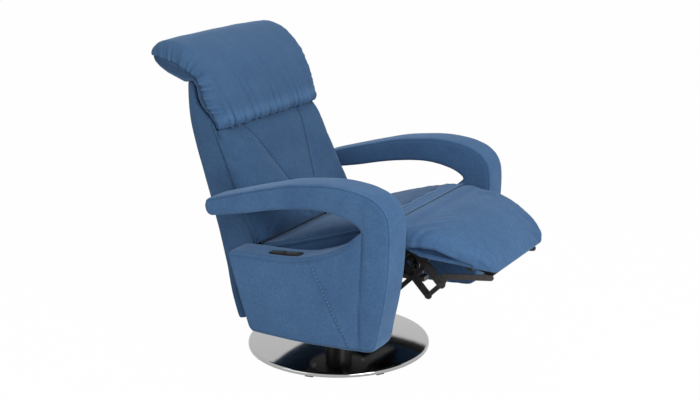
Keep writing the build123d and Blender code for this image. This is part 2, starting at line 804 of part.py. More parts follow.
for side_name, side in SIDES:
    with BuildPart() as foot_bracket:
        with BuildSketch(side_plane(side * BRACKET_X)):
            bar(KNEE, HEEL_PIN, 26)
            bar(HEEL_PIN, TOE_PIN, 26)
            bar(TOE_PIN, (-441, 345), 20)
            bar((-441, 345), (-579, 365), 17)
            with BuildLine():
                Polyline(sole(8, 0), sole(54, 0), HEEL_PIN, shift(HEEL_PIN, (14, 6)), close=True)
            make_face()
            disc(KNEE, KNEE_R + RUN, Mode.SUBTRACT)
        extrude(amount=side * BAR_T)
        with BuildSketch(side_plane(side * (BRACKET_X + BAR_T))):
            for heel, toe in ((8, 54), (210, 232)):
                with BuildLine():
                    Polyline(
                        sole(heel, 0),
                        sole(toe, 0),
                        sole(toe, -TAB_T),
                        sole(heel, -TAB_T),
                        close=True,
                    )
                make_face()
        extrude(amount=-side * 32)
        for pin in (HEEL_PIN, TOE_PIN):
            rod(pin, side * (BRACKET_X + BAR_T), side * (LINK_B_X - 0.2), PIN_R)
            rod(pin, side * (LINK_B_X - 0.2), side * (LINK_B_X - 1.5), PIN_R + 3)
            rod(pin, side * (BRACKET_X + BAR_T), side * (BRACKET_X + BAR_T + 2.5), PIN_R + 3)
    save(foot_bracket, "foot_bracket_" + side_name)

with BuildPart() as foot_board:
    with BuildSketch(side_plane(-BOARD_HALF)):
        with BuildLine():
            Polyline(
                sole(0, 0), sole(BOARD_L, 0), sole(BOARD_L, BOARD_T), sole(0, BOARD_T), close=True
            )
        make_face()
    extrude(amount=2 * BOARD_HALF)
save(foot_board, "foot_board")

ROLL_HALF = 262
ROLL_CORE = 40
ROLL_FROM = 8

with BuildPart() as foot_pad:
    sections = []
    for section_y, half, low, high, crown in (
        (KNEE[0], ROLL_HALF - 4, 446, KNEE[1] + KNEE_ROLL - 10, 9),
        (-400, 246, 430, 490, 11),
        (-460, 226, 416, 481, 11),
        (-520, 202, 402, 463, 10),
        (-568, 182, 391, 442, 8),
        (-594, 168, 385, 420, 5),
        (-606, 158, 383, 402, 2),
    ):
        cut_plane = Plane((0, section_y, 0), (1, 0, 0), (0, -1, 0))
        sections.append(cushion_section(cut_plane, half, low, high, crown, 7))
    loft(sections)
    with BuildSketch(side_plane(-ROLL_HALF)):
        with BuildLine():
            outer = CenterArc(KNEE, KNEE_ROLL - 10, ROLL_FROM, 90 - ROLL_FROM)
            inner = CenterArc(KNEE, ROLL_CORE, ROLL_FROM, 90 - ROLL_FROM)
            Line(outer @ 0, inner @ 0)
            Line(outer @ 1, inner @ 1)
        make_face()
    extrude(amount=2 * ROLL_HALF)
    with BuildSketch(side_plane(-ROLL_HALF + 20)):
        with BuildLine():
            outer = CenterArc(KNEE, KNEE_ROLL, ROLL_FROM, 90 - ROLL_FROM)
            inner = CenterArc(KNEE, ROLL_CORE, ROLL_FROM, 90 - ROLL_FROM)
            Line(outer @ 0, inner @ 0)
            Line(outer @ 1, inner @ 1)
        make_face()
    extrude(amount=2 * ROLL_HALF - 40)
    with BuildSketch(side_plane(-WIDTH / 2)):
        with BuildLine():
            Polyline(
                sole(-2, BOARD_T),
                sole(BOARD_L + 2, BOARD_T),
                sole(BOARD_L + 2, -60),
                sole(-2, -60),
                close=True,
            )
        make_face()
    extrude(amount=WIDTH, mode=Mode.SUBTRACT)
save(foot_pad, "foot_pad")

# Backrest frame
lean_turn = math.radians(BACK_LEAN)
BACK_DIR = (math.sin(lean_turn), math.cos(lean_turn))
BACK_OUT = (-math.cos(lean_turn), math.sin(lean_turn))


def spine(along, out):
    """Backrest point: distance up from the lower piping, distance out to the front."""
    return shift(shift(BACK_FOOT, part_way(BACK_DIR, along)), part_way(BACK_OUT, out))


BACK_BOARD_T = 8
TUBE_R = 11
TUBE_OUT = -BACK_BOARD_T - TUBE_R
TUBE_X = LEAF_X - TUBE_R + 2.5
TUBE_LOW = spine(20, TUBE_OUT)
TUBE_HIGH = spine(400, TUBE_OUT)
ELBOW = (122, 268)

for side_name, side in SIDES:
    with BuildPart() as back_upright:
        with BuildSketch(side_plane(side * LEAF_X)):
            disc(SHAFT, 16)
            bar(SHAFT, ELBOW, 22)
            bar(ELBOW, (160, 345), 22)
            bar((160, 345), spine(70, TUBE_OUT - 2), 22)
            disc(SHAFT, SHAFT_R + RUN, Mode.SUBTRACT)
        extrude(amount=side * SHEET)
        tube_plane = Plane((side * TUBE_X, *TUBE_LOW), (1, 0, 0), (0, *BACK_DIR))
        with BuildSketch(tube_plane):
            Circle(TUBE_R)
        extrude(amount=math.dist(TUBE_LOW, TUBE_HIGH))
        with BuildSketch(side_plane(side * TUBE_X)):
            bar(spine(30, TUBE_OUT - 2), spine(70, TUBE_OUT - 2), 14)
        extrude(amount=side * (LEAF_X - TUBE_X + 1))
    save(back_upright, "back_upright_" + side_name)

with BuildPart() as back_tubes:
    rod(ELBOW, -LEAF_X, LEAF_X, 9)
    inner_x = TUBE_X - TUBE_R
    for along in (120, 380):
        rod(spine(along, TUBE_OUT), -inner_x - 3, inner_x + 3, 9)
    for side_name, side in SIDES:
        tube_plane = Plane((side * TUBE_X, *TUBE_LOW), (1, 0, 0), (0, *BACK_DIR))
        with BuildSketch(tube_plane):
            Circle(TUBE_R + RUN)
        extrude(amount=math.dist(TUBE_LOW, TUBE_HIGH), mode=Mode.SUBTRACT)
save(back_tubes, "back_tubes")

with BuildPart() as back_lever:
    lever_pin = (SHAFT[0], SHAFT[1] - LEVER)
    with BuildSketch(side_plane(DRIVE_X - 4)):
        bar(SHAFT, lever_pin, 18)
        bar(SHAFT, ELBOW, 24)
        disc(SHAFT, 17)
        disc(SHAFT, SHAFT_R + RUN, Mode.SUBTRACT)
        disc(ELBOW, 9 + RUN, Mode.SUBTRACT)
    extrude(amount=8)
    rod(lever_pin, DRIVE_X - FORK_OUT, DRIVE_X + FORK_OUT, PIN_R)
save(back_lever, "back_lever")

BOARD_TOP = 385

with BuildPart() as back_board:
    with BuildSketch(side_plane(-BACK_HALF + 24)):
        with BuildLine():
            Polyline(
                spine(4, -BACK_BOARD_T),
                spine(BOARD_TOP, -BACK_BOARD_T),
                spine(BOARD_TOP, 0),
                spine(4, 0),
                close=True,
            )
        make_face()
    extrude(amount=2 * BACK_HALF - 48)
save(back_board, "back_board")

# Back shell: rear panel, cheeks forward to the piping, skirt below
SHELL_T = 20
CHEEK_T = 20


with BuildPart() as back_shell:
    with BuildSketch(side_plane(-BACK_HALF)):
        with BuildLine():
            rear_line = Spline(
                (190, 140),
                (213, 202),
                (232, 300),
                (269, 446),
                (310, 583),
                (343, 686),
                (356, 770),
                (356, 832),
            )
            Line(rear_line @ 1, (338, 832))
            Line((338, 832), (330, 780))
            Line((330, 780), spine(BOARD_TOP, 0))
            Line(spine(BOARD_TOP, 0), spine(0, 0))
            Line(spine(0, 0), (178, 352))
            Spline((178, 352), (208, 320), (206, 290), (192, 210), (170, 146))
            Line((170, 146), rear_line @ 0)
        make_face()
    extrude(amount=2 * BACK_HALF)
    with BuildSketch(side_plane(-BACK_HALF + CHEEK_T)):
        with BuildLine():
            Spline((212, 300), (249, 446), (290, 583), (323, 686), (333, 745), (334, 800))
            Line((334, 800), (300, 860))
            Line((300, 860), (40, 380))
            Line((40, 380), (176, 300))
            Line((176, 300), (212, 300))
        make_face()
    extrude(amount=2 * BACK_HALF - 2 * CHEEK_T, mode=Mode.SUBTRACT)
    fillet(back_shell.edges().filter_by(GeomType.BSPLINE).group_by(Axis.X)[-1], 8)
    fillet(back_shell.edges().filter_by(GeomType.BSPLINE).group_by(Axis.X)[0], 8)
    for side_name, side in SIDES:
        with BuildSketch(side_plane(side * (NECK_LEAF_X - 2))):
            bar(NECK, spine(380, TUBE_OUT), 20)
        extrude(amount=side * (2 * LEAF_T + 5), mode=Mode.SUBTRACT)
save(back_shell, "back_shell")

# Front padding in three fields divided by V seams
SEAM_W = 13
SEAM_TOP = (150, 352)
SEAM_LOW = (22, 30)
PAD_HIGH = 352


def back_padding():
    """Whole front padding: fuller at the small of the back, bowed at the sides."""
    sections = []
    for along, half, high, crown in (
        (-14, BACK_HALF - 12, PAD_T - 6, 10),
        (50, BACK_HALF - 3, PAD_T, 22),
        (150, BACK_HALF, PAD_T, 20),
        (260, BACK_HALF - 2, PAD_T - 4, 14),
        (PAD_HIGH, BACK_HALF - 6, PAD_T - 8, 8),
    ):
        cut_plane = Plane((0, *spine(along, 0)), (-1, 0, 0), (0, *BACK_DIR))
        sections.append(cushion_section(cut_plane, half, 0, high, crown, 6))
    loft(sections)
    rod(SHAFT, -WIDTH / 2, WIDTH / 2, PAD_SWEEP, Mode.SUBTRACT)


front_plane = Plane((0, *spine(0, 0)), (1, 0, 0), (0, *BACK_OUT))


def seam_cut(side):
    """Tapered cut along one V seam, wide at the surface and thin at the board."""
    turn = math.atan2(SEAM_TOP[1] - SEAM_LOW[1], SEAM_TOP[0] - SEAM_LOW[0])
    reach = 90
    low = (SEAM_LOW[0] - reach * math.cos(turn), SEAM_LOW[1] - reach * math.sin(turn))
    along = Vector(side * math.cos(turn), math.sin(turn), 0)
    start = front_plane.from_local_coords(Vector(side * low[0], low[1], 0))
    heading = front_plane.from_local_coords(along) - front_plane.origin
    with BuildSketch(Plane(start, heading.cross(front_plane.z_dir), heading)) as section:
        Polygon(
            (-0.6, 1),
            (0.6, 1),
            (1.2, -25),
            (SEAM_W / 2, -72),
            (-SEAM_W / 2, -72),
            (-1.2, -25),
            align=None,
        )
    run = math.dist(SEAM_LOW, SEAM_TOP) + 2 * reach
    extrude(section.sketch, amount=run, mode=Mode.SUBTRACT)


for field_name, field in (("right", 2), ("middle", 1), ("left", 0)):
    with BuildPart() as back_field:
        back_padding()
        for side_name, side in SIDES:
            seam_cut(side)
        fields = back_field.solids().sort_by(Axis.X)
        for other in fields:
            if other is not fields[2 - field]:
                add(other, mode=Mode.SUBTRACT)
    save(back_field, "back_field_" + field_name)

# Head cushion: a fixed lower part and a hinged upper part on a drum
head_lower_profile = (
    (262, 716),
    (248, 728),
    (254, 762),
    (263, 796),
    (277, 828),
    (300, 850),
    (322, 832),
    (298, 770),
)
head_upper_profile = (
    (310, 880),
    (330, 905),
    (362, 931),
    (405, 947),
    (446, 955),
    (476, 948),
    (480, 922),
    (464, 897),
    (434, 874),
    (398, 862),
    (362, 846),
)


def head_section(x, points, size):
    """Closed cushion outline at x, drawn in about its middle by a size factor."""
    count = len(points)
    middle = (sum(p[0] for p in points) / count, sum(p[1] for p in points) / count)
    back = (-middle[0], -middle[1])
    drawn = [shift(middle, part_way(shift(p, back), size)) for p in points]
    with BuildSketch(side_plane(x)) as section:
        with BuildLine():
            Spline(*drawn, periodic=True)
        make_face()
    return section.sketch


HEAD_STEPS = ((-1, 0.6), (-0.965, 0.86), (-0.88, 1), (0.88, 1), (0.965, 0.86), (1, 0.6))

with BuildPart() as head_lower:
    sections = []
    for share, size in HEAD_STEPS:
        sections.append(head_section(share * HEAD_HALF, head_lower_profile, size))
    loft(sections, ruled=True)
    rod(NECK, -WIDTH / 2, WIDTH / 2, DRUM + DRUM_GAP, Mode.SUBTRACT)
    with BuildSketch(side_plane(-WIDTH / 2)):
        Polygon((300, 700), spine(300, 1), spine(520, 1), (500, 900), align=None)
    extrude(amount=WIDTH, mode=Mode.SUBTRACT)
save(head_lower, "head_lower")

HEAD_BOARD_HALF = HEAD_HALF - 34
HEAD_BOARD_T = 12
HEAD_BOARD_FROM = polar(NECK, 20, 25)
HEAD_BOARD_TO = (466, 903)
HEAD_LEAF_TO = (418, 877)
DRUM_CORE = 38
DRUM_FROM = 60
DRUM_TO = 194

with BuildPart() as head_upper:
    sections = []
    for share, size in HEAD_STEPS:
        sections.append(head_section(share * HEAD_HALF, head_upper_profile, size))
    loft(sections, ruled=True)
    with BuildSketch(side_plane(-HEAD_HALF * 0.94)):
        with BuildLine():
            outer = CenterArc(NECK, DRUM, DRUM_FROM, DRUM_TO - DRUM_FROM)
            inner = CenterArc(NECK, DRUM_CORE, DRUM_FROM, DRUM_TO - DRUM_FROM)
            Line(outer @ 0, inner @ 0)
            Line(outer @ 1, inner @ 1)
        make_face()
    extrude(amount=HEAD_HALF * 1.88)
    with BuildSketch(side_plane(-HEAD_BOARD_HALF - 2)):
        bar(NECK, HEAD_BOARD_TO, HEAD_BOARD_T + 2)
    extrude(amount=2 * HEAD_BOARD_HALF + 4, mode=Mode.SUBTRACT)
    rod(NECK, -WIDTH / 2, WIDTH / 2, 14, Mode.SUBTRACT)
save(head_upper, "head_upper")

with BuildPart() as head_board:
    with BuildSketch(side_plane(-HEAD_BOARD_HALF)):
        bar(HEAD_BOARD_FROM, HEAD_BOARD_TO, HEAD_BOARD_T)
    extrude(amount=2 * HEAD_BOARD_HALF)
    for side_name, side in SIDES:
        with BuildSketch(side_plane(side * (NECK_LEAF_X + LEAF_T + 1 - PLAY))):
            bar(NECK, HEAD_LEAF_TO, HEAD_BOARD_T + 4)
        extrude(amount=side * (LEAF_T + 2 * PLAY), mode=Mode.SUBTRACT)
save(head_board, "head_board")

with BuildPart() as neck_leaves:
    for side_name, side in SIDES:
        with BuildSketch(side_plane(side * NECK_LEAF_X)):
            bar(NECK, spine(380, TUBE_OUT), 14)
            disc(spine(380, TUBE_OUT), 10.5)
            disc(spine(380, TUBE_OUT), 9 + RUN, Mode.SUBTRACT)
        extrude(amount=side * LEAF_T)
        rod(NECK, side * NECK_LEAF_X, side * (NECK_LEAF_X + 2 * LEAF_T + 2), 4)
save(neck_leaves, "neck_leaves")

with BuildPart() as head_leaves:
    for side_name, side in SIDES:
        with BuildSketch(side_plane(side * (NECK_LEAF_X + LEAF_T + 1))):
            bar(NECK, HEAD_LEAF_TO, HEAD_BOARD_T - 1)
            disc(NECK, 8)
            disc(NECK, 4 + RUN, Mode.SUBTRACT)
        extrude(amount=side * LEAF_T)
save(head_leaves, "head_leaves")
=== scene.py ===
# %% [markdown]
# # Dressing a swivel recliner
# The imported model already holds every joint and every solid. This lesson puts cloth, thread, brushed
# steel and paint on it. All lengths in the tables below are millimetres in side view, as (y, z) pairs
# with the front of the chair toward -Y, and they become metres when a mesh is made.

import bmesh
import bpy
import numpy as np
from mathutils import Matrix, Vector
from mathutils.bvhtree import BVHTree


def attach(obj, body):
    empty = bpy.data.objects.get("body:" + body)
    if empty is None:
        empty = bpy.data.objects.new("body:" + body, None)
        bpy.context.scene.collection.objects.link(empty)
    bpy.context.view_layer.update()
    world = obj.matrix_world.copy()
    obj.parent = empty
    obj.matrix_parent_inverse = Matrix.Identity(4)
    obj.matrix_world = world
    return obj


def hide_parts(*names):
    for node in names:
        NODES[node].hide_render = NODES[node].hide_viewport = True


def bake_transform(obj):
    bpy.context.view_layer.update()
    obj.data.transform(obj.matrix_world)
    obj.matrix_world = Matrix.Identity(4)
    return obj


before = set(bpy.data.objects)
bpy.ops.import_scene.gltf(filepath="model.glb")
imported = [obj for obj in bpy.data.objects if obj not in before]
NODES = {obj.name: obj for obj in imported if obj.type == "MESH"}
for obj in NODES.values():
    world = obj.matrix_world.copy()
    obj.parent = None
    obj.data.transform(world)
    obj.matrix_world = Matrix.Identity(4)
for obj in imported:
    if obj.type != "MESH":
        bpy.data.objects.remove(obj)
scene = bpy.context.scene
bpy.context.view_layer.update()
MM = 0.001

# %% [markdown]
# ## Camera
# The viewing angle was worked out from the round floor disc and the two level arms. A long lens keeps
# the arms nearly parallel, as they are in the photograph.

# %% Camera
EYE = Vector((-3.176, -1.878, 1.516))
AIM = Vector((0.0107, -0.0348, 0.4712))
LENS = 64.39

camera_data = bpy.data.cameras.new("studio_camera")
camera_data.lens = LENS
camera_data.sensor_width = 36
camera = bpy.data.objects.new("studio_camera", camera_data)
camera.location = EYE
camera.rotation_euler = (AIM - EYE).to_track_quat("-Z", "Y").to_euler()
scene.collection.objects.link(camera)
scene.camera = camera
print("camera looks along", [round(value, 3) for value in (AIM - EYE).normalized()])

# %% [markdown]
# ## Node helpers
# Each finish is a small node tree. A few helpers keep the trees readable: they add a node with its
# values, join two sockets, and make the three pairs that every finish here needs, which are a colour ramp,
# a straight map of a value and a bump.


# %% Node helpers
def add_node(tree, kind, **values):
    """New shader node; each keyword sets a property, or an input socket of that name."""
    node = tree.nodes.new("ShaderNode" + kind)
    for key, value in values.items():
        socket = key.replace("_", " ").title()
        if socket in node.inputs:
            node.inputs[socket].default_value = value
        else:
            setattr(node, key, value)
    return node


def join(tree, source, out, target, into):
    """Wire from one node's output to another node's input."""
    tree.links.new(source.outputs[out], target.inputs[into])


def blank(name):
    """Material with a bare shader: returns the material, its tree and its shader node."""
    material = bpy.data.materials.new(name)
    material.use_nodes = True
    tree = material.node_tree
    return material, tree, tree.nodes["Principled BSDF"]


def ramp_between(tree, source, out, low, high, dark, light):
    """Colour ramp from dark to light while the source value goes from low to high."""
    ramp = add_node(tree, "ValToRGB")
    ramp.color_ramp.elements[0].position = low
    ramp.color_ramp.elements[0].color = (*dark, 1)
    ramp.color_ramp.elements[1].position = high
    ramp.color_ramp.elements[1].color = (*light, 1)
    join(tree, source, out, ramp, "Fac")
    return ramp


def between(tree, source, out, low, high):
    """Straight map of a value that runs from 0 to 1 onto low to high."""
    span = add_node(tree, "MapRange")
    span.inputs["To Min"].default_value = low
    span.inputs["To Max"].default_value = high
    join(tree, source, out, span, "Value")
    return span


def bumped(tree, texture, strength, distance, beneath=None):
    """Bump from a texture's value, laid over another bump where one is given."""
    bump = add_node(tree, "Bump", strength=strength, distance=distance)
    join(tree, texture, "Fac", bump, "Height")
    if beneath:
        join(tree, beneath, "Normal", bump, "Normal")
    return bump


# %% [markdown]
# ## Stage and light
# The photograph is a cut-out on white, lit softly from above and from the front. The floor and the
# world are white for the camera and in reflections, and the lamps alone decide how bright the chair is.

# %% Stage and light
FLOOR_HALF = 40.0
FLOOR_DROP = 0.0004
LAMP_AIM = Vector((0, 0, 0.45))
WORLD_LEVEL = 0.33
FLOOR_GLOW = 0.985


def seen_directly(tree):
    """One where a ray comes from the camera, a reflection or a transmission, else zero."""
    path = add_node(tree, "LightPath")
    first = add_node(tree, "Math", operation="MAXIMUM")
    second = add_node(tree, "Math", operation="MAXIMUM")
    join(tree, path, "Is Camera Ray", first, 0)
    join(tree, path, "Is Glossy Ray", first, 1)
    join(tree, first, 0, second, 0)
    join(tree, path, "Is Transmission Ray", second, 1)
    return second


world = bpy.data.worlds.new("studio")
scene.world = world
world.use_nodes = True
world_tree = world.node_tree
background = world_tree.nodes["Background"]
background.inputs["Color"].default_value = (1, 1, 1, 1)
level = between(world_tree, seen_directly(world_tree), 0, WORLD_LEVEL, 1.0)
join(world_tree, level, "Result", background, "Strength")

floor_mesh = bpy.data.meshes.new("floor")
floor_corners = [(-1, -1), (1, -1), (1, 1), (-1, 1)]
floor_mesh.from_pydata(
    [(x * FLOOR_HALF, y * FLOOR_HALF, -FLOOR_DROP) for x, y in floor_corners], [], [(0, 1, 2, 3)]
)
floor = bpy.data.objects.new("floor", floor_mesh)
scene.collection.objects.link(floor)
floor_paint, floor_tree, floor_shader = blank("floor_white")
floor_shader.inputs["Base Color"].default_value = (0.86, 0.86, 0.86, 1)
floor_shader.inputs["Roughness"].default_value = 0.9
glow = add_node(floor_tree, "Emission", strength=1.0)
blend_floor = add_node(floor_tree, "MixShader")
share = add_node(floor_tree, "Math", operation="MULTIPLY")
share.inputs[1].default_value = FLOOR_GLOW
join(floor_tree, seen_directly(floor_tree), 0, share, 0)
join(floor_tree, share, 0, blend_floor, 0)
join(floor_tree, floor_shader, 0, blend_floor, 1)
join(floor_tree, glow, 0, blend_floor, 2)
join(floor_tree, blend_floor, 0, floor_tree.nodes["Material Output"], "Surface")
floor_mesh.materials.append(floor_paint)

LAMPS = (
    ("key", (-1.9, -3.2, 2.6), 2.2, 120),
    ("fill", (-3.4, 1.6, 2.1), 2.4, 20),
    ("crown", (0.6, 0.4, 3.4), 2.0, 18),
)
for lamp_name, place, size, watts in LAMPS:
    lamp_data = bpy.data.lights.new(lamp_name, "AREA")
    lamp_data.size = size
    lamp_data.energy = watts
    lamp = bpy.data.objects.new(lamp_name, lamp_data)
    lamp.location = place
    lamp.rotation_euler = (LAMP_AIM - Vector(place)).to_track_quat("-Z", "Y").to_euler()
    scene.collection.objects.link(lamp)
scene.view_settings.view_transform = "Standard"
print("lamps", [lamp_row[0] for lamp_row in LAMPS])

# %% [markdown]
# ## Cloth finish
# The cover is a short-pile microfibre. Its pile lies in patches, so it is lighter and darker in soft
# clouds, it brightens at grazing angles (sheen), and close up it is a fine felt. Seat, back and head
# get a copy of the cloth with painted shade, a shade deeper than the arms. Every stitched piece carries
# a point attribute called seam: 0 on the open cloth, up to 1 for painted shade in grooves, creases and
# shaded faces, and down to -1 for a painted highlight over ridges and stretched folds.

# %% Cloth finish
# The deepest blue is the colour that painted shade mixes in. The palest blue times 1.45 is the colour of
# painted highlight.
BLUE_PAINTED_SHADE = np.array((0.020, 0.052, 0.122))
BLUE_MID = np.array((0.053, 0.122, 0.250))
BLUE_PALE = np.array((0.072, 0.157, 0.302))
# 0.76 darkens a copy of the cloth with painted shade, for seat, back and head.
PAINTED_SHADE_FACTOR = 0.76
HIGHLIGHT_GAIN = 1.45


def plush(name, shade_colour, middle, pale):
    """Short-pile cloth: cloudy nap, felt bump, painted shade and painted highlight from the seam attribute,
    pale sheen at grazing angles.
    """
    material, tree, shader = blank(name)
    place = add_node(tree, "TexCoord")
    clouds = add_node(tree, "TexNoise", scale=9.0, detail=5.0, roughness=0.66)
    streaks = add_node(tree, "TexNoise", scale=120.0, detail=5.0, roughness=0.7)
    felt = add_node(tree, "TexNoise", scale=1100.0, detail=2.0)
    for texture in (clouds, streaks, felt):
        join(tree, place, "Object", texture, "Vector")
    nap = ramp_between(tree, clouds, "Fac", 0.3, 0.72, middle, pale)
    fine = ramp_between(tree, streaks, "Fac", 0.34, 0.7, (0.86,) * 3, (1.12,) * 3)
    tinted = add_node(tree, "MixRGB", blend_type="MULTIPLY")
    tinted.inputs["Fac"].default_value = 1
    join(tree, nap, "Color", tinted, "Color1")
    join(tree, fine, "Color", tinted, "Color2")
    # Positive seam values mix in painted shade, and negative ones a painted highlight.
    seam = add_node(tree, "Attribute", attribute_name="seam")
    seam_shade = add_node(tree, "MixRGB")
    join(tree, seam, "Fac", seam_shade, "Fac")
    join(tree, tinted, "Color", seam_shade, "Color1")
    seam_shade.inputs["Color2"].default_value = (*shade_colour, 1)
    turned = add_node(tree, "Math", operation="MULTIPLY", use_clamp=True)
    turned.inputs[1].default_value = -1
    join(tree, seam, "Fac", turned, 0)
    painted_highlight = add_node(tree, "MixRGB")
    join(tree, turned, 0, painted_highlight, "Fac")
    join(tree, seam_shade, "Color", painted_highlight, "Color1")
    painted_highlight.inputs["Color2"].default_value = (*(HIGHLIGHT_GAIN * pale), 1)
    join(tree, painted_highlight, "Color", shader, "Base Color")
    join(tree, between(tree, streaks, "Fac", 0.78, 0.97), "Result", shader, "Roughness")
    soft = bumped(tree, streaks, 0.35, 0.0011)
    join(tree, bumped(tree, felt, 0.3, 0.0006, soft), "Normal", shader, "Normal")
    shader.inputs["Specular IOR Level"].default_value = 0.12
    shader.inputs["Sheen Weight"].default_value = 0.28
    shader.inputs["Sheen Roughness"].default_value = 0.45
    shader.inputs["Sheen Tint"].default_value = (0.5, 0.68, 0.95, 1)
    return material


CLOTH = plush("blue_microfibre", BLUE_PAINTED_SHADE, BLUE_MID, BLUE_PALE)
# Copy of the cloth darkened as painted shade, for seat, back and head.
CLOTH_SHADED = plush("blue_microfibre_shaded", PAINTED_SHADE_FACTOR * BLUE_PAINTED_SHADE, PAINTED_SHADE_FACTOR * BLUE_MID, PAINTED_SHADE_FACTOR * BLUE_PALE)
print("cloth nodes", len(CLOTH.node_tree.nodes))

# %% [markdown]
# ## Hard finishes
# Painted steel, moulded plastic, plywood and rubber all have the same make-up: two close shades mixed
# by noise, a roughness that follows the same noise, and a bump. The noise may be stretched along one
# axis, which turns clouds into wood grain or drawn steel.


# %% Hard finishes
def coat(name, dark, light, grain, stretch, rough, bump, metallic=0.0, specular=0.5):
    """Two shades mixed by stretched noise; roughness runs between the two values of rough."""
    material, tree, shader = blank(name)
    place = add_node(tree, "TexCoord")
    mapping = add_node(tree, "Mapping")
    mapping.inputs["Scale"].default_value = stretch
    texture = add_node(tree, "TexNoise", scale=grain, detail=5.0, roughness=0.65)
    speck = add_node(tree, "TexNoise", scale=grain * 9, detail=2.0)
    join(tree, place, "Object", mapping, "Vector")
    join(tree, mapping, "Vector", texture, "Vector")
    join(tree, mapping, "Vector", speck, "Vector")
    shade = ramp_between(tree, texture, "Fac", 0.3, 0.7, dark, light)
    join(tree, shade, "Color", shader, "Base Color")
    join(tree, between(tree, texture, "Fac", *rough), "Result", shader, "Roughness")
    join(tree, bumped(tree, speck, bump, 0.0008), "Normal", shader, "Normal")
    shader.inputs["Metallic"].default_value = metallic
    shader.inputs["Specular IOR Level"].default_value = specular
    return material


EVEN = (1, 1, 1)
FINISHES = {
    "rubber_black": coat("rubber_black", (0.010,) * 3, (0.022,) * 3, 60, EVEN, (0.6, 0.85), 0.3),
    "steel_plate": coat(
        "zinc_steel", (0.30, 0.31, 0.32), (0.46, 0.47, 0.48), 45, (1, 1, 4), (0.3, 0.5), 0.12, 1.0
    ),
    "metal_black": coat("black_paint", (0.008,) * 3, (0.020,) * 3, 80, EVEN, (0.32, 0.5), 0.22),
    "metal_grey": coat(
        "dark_bar_paint", (0.030, 0.027, 0.025), (0.060, 0.054, 0.050), 70, EVEN, (0.3, 0.48), 0.2, 0.3
    ),
    "plywood": coat(
        "plywood", (0.27, 0.16, 0.08), (0.46, 0.31, 0.17), 26, (1, 9, 9), (0.55, 0.75), 0.25
    ),
    "plastic_black": coat("black_plastic", (0.011,) * 3, (0.019,) * 3, 240, EVEN, (0.3, 0.42), 0.3),
    "rocker_grey": coat("rocker_plastic", (0.030,) * 3, (0.046,) * 3, 260, EVEN, (0.36, 0.5), 0.25),
    "webbing": coat("webbing_weave", (0.018,) * 3, (0.07,) * 3, 130, (1, 6, 1), (0.8, 0.95), 0.6),
}
LINING = coat("black_lining", (0.012,) * 3, (0.03,) * 3, 420, EVEN, (0.85, 0.97), 0.5, 0.0, 0.15)
print("finishes", sorted(FINISHES))

# %% [markdown]
# ## Brushed steel
# The floor disc was polished while it turned on a lathe, so its scratches are circles. Noise that reads
# only the distance from the swivel axis gives rings, and a radial tangent with anisotropy draws every
# highlight out into the two bright fans that spun steel shows. The other solids get their paint here too.
# Boards and tubes that the cloth hides are black, so that none of them shines through a gap.


# %% Brushed steel
def spun_steel(name):
    """Rings from one-dimensional noise over the radius; anisotropic gloss round the Z axis."""
    material, tree, shader = blank(name)
    place = add_node(tree, "TexCoord")
    flat = add_node(tree, "VectorMath", operation="MULTIPLY")
    flat.inputs[1].default_value = (1, 1, 0)
    radius = add_node(tree, "VectorMath", operation="LENGTH")
    rings = add_node(tree, "TexNoise", noise_dimensions="1D", scale=900.0, detail=4.0)
    smears = add_node(tree, "TexNoise", scale=7.0, detail=3.0)
    join(tree, place, "Object", flat, 0)
    join(tree, flat, "Vector", radius, 0)
    join(tree, radius, "Value", rings, "W")
    join(tree, place, "Object", smears, "Vector")
    shade = ramp_between(tree, rings, "Fac", 0.25, 0.75, (0.36,) * 3, (0.45,) * 3)
    join(tree, shade, "Color", shader, "Base Color")
    join(tree, between(tree, smears, "Fac", 0.05, 0.11), "Result", shader, "Roughness")
    join(tree, bumped(tree, rings, 0.1, 0.0003), "Normal", shader, "Normal")
    turning = add_node(tree, "Tangent", direction_type="RADIAL", axis="Z")
    join(tree, turning, "Tangent", shader, "Tangent")
    shader.inputs["Metallic"].default_value = 1.0
    shader.inputs["Anisotropic"].default_value = 0.25
    return material


FINISHES["steel_brushed"] = spun_steel("spun_steel")

node_finish = {
    "rubber_black": ("glide_ring",),
    "steel_brushed": ("base_cover",),
    "plywood": ("arm_core_left", "arm_core_right"),
    "plastic_black": ("panel_bezel", "supply_box", "back_motor", "foot_motor", "thrust_washer"),
    "rocker_grey": ("rocker_back", "rocker_foot"),
    "webbing": ("seat_webbing",),
    "metal_grey": (
        "foot_bracket_left", "foot_bracket_right", "foot_rail", "back_rail", "back_slider", "foot_slider",
    ),
    "steel_plate": ("base_plate", "column_post", "column_screws", "frame_screws", "pivot_shaft", "seat_pins"),
}
finish_of = {node: finish for finish, members in node_finish.items() for node in members}
for node_name, node_object in NODES.items():
    node_object.data.materials.clear()
    node_object.data.materials.append(FINISHES[finish_of.get(node_name, "metal_black")])
for covered in ("foot_board", "back_board", "head_board", "back_upright_left", "back_upright_right"):
    NODES[covered].data.materials[0] = LINING
print("painted", len(NODES), "solids")

# %% [markdown]
# ## Cushion surfaces
# Every upholstered piece here is a slab between two side-view lines: seat top and underside, outer and
# inner edge of an arm, front and rear of the back. At each station a rounded rectangle joins the two
# lines and spans the piece's width. One builder makes them all, so that seams can be placed by knowing
# where on the section a point lies. Side-view lines run through a few table points as smooth cubics.


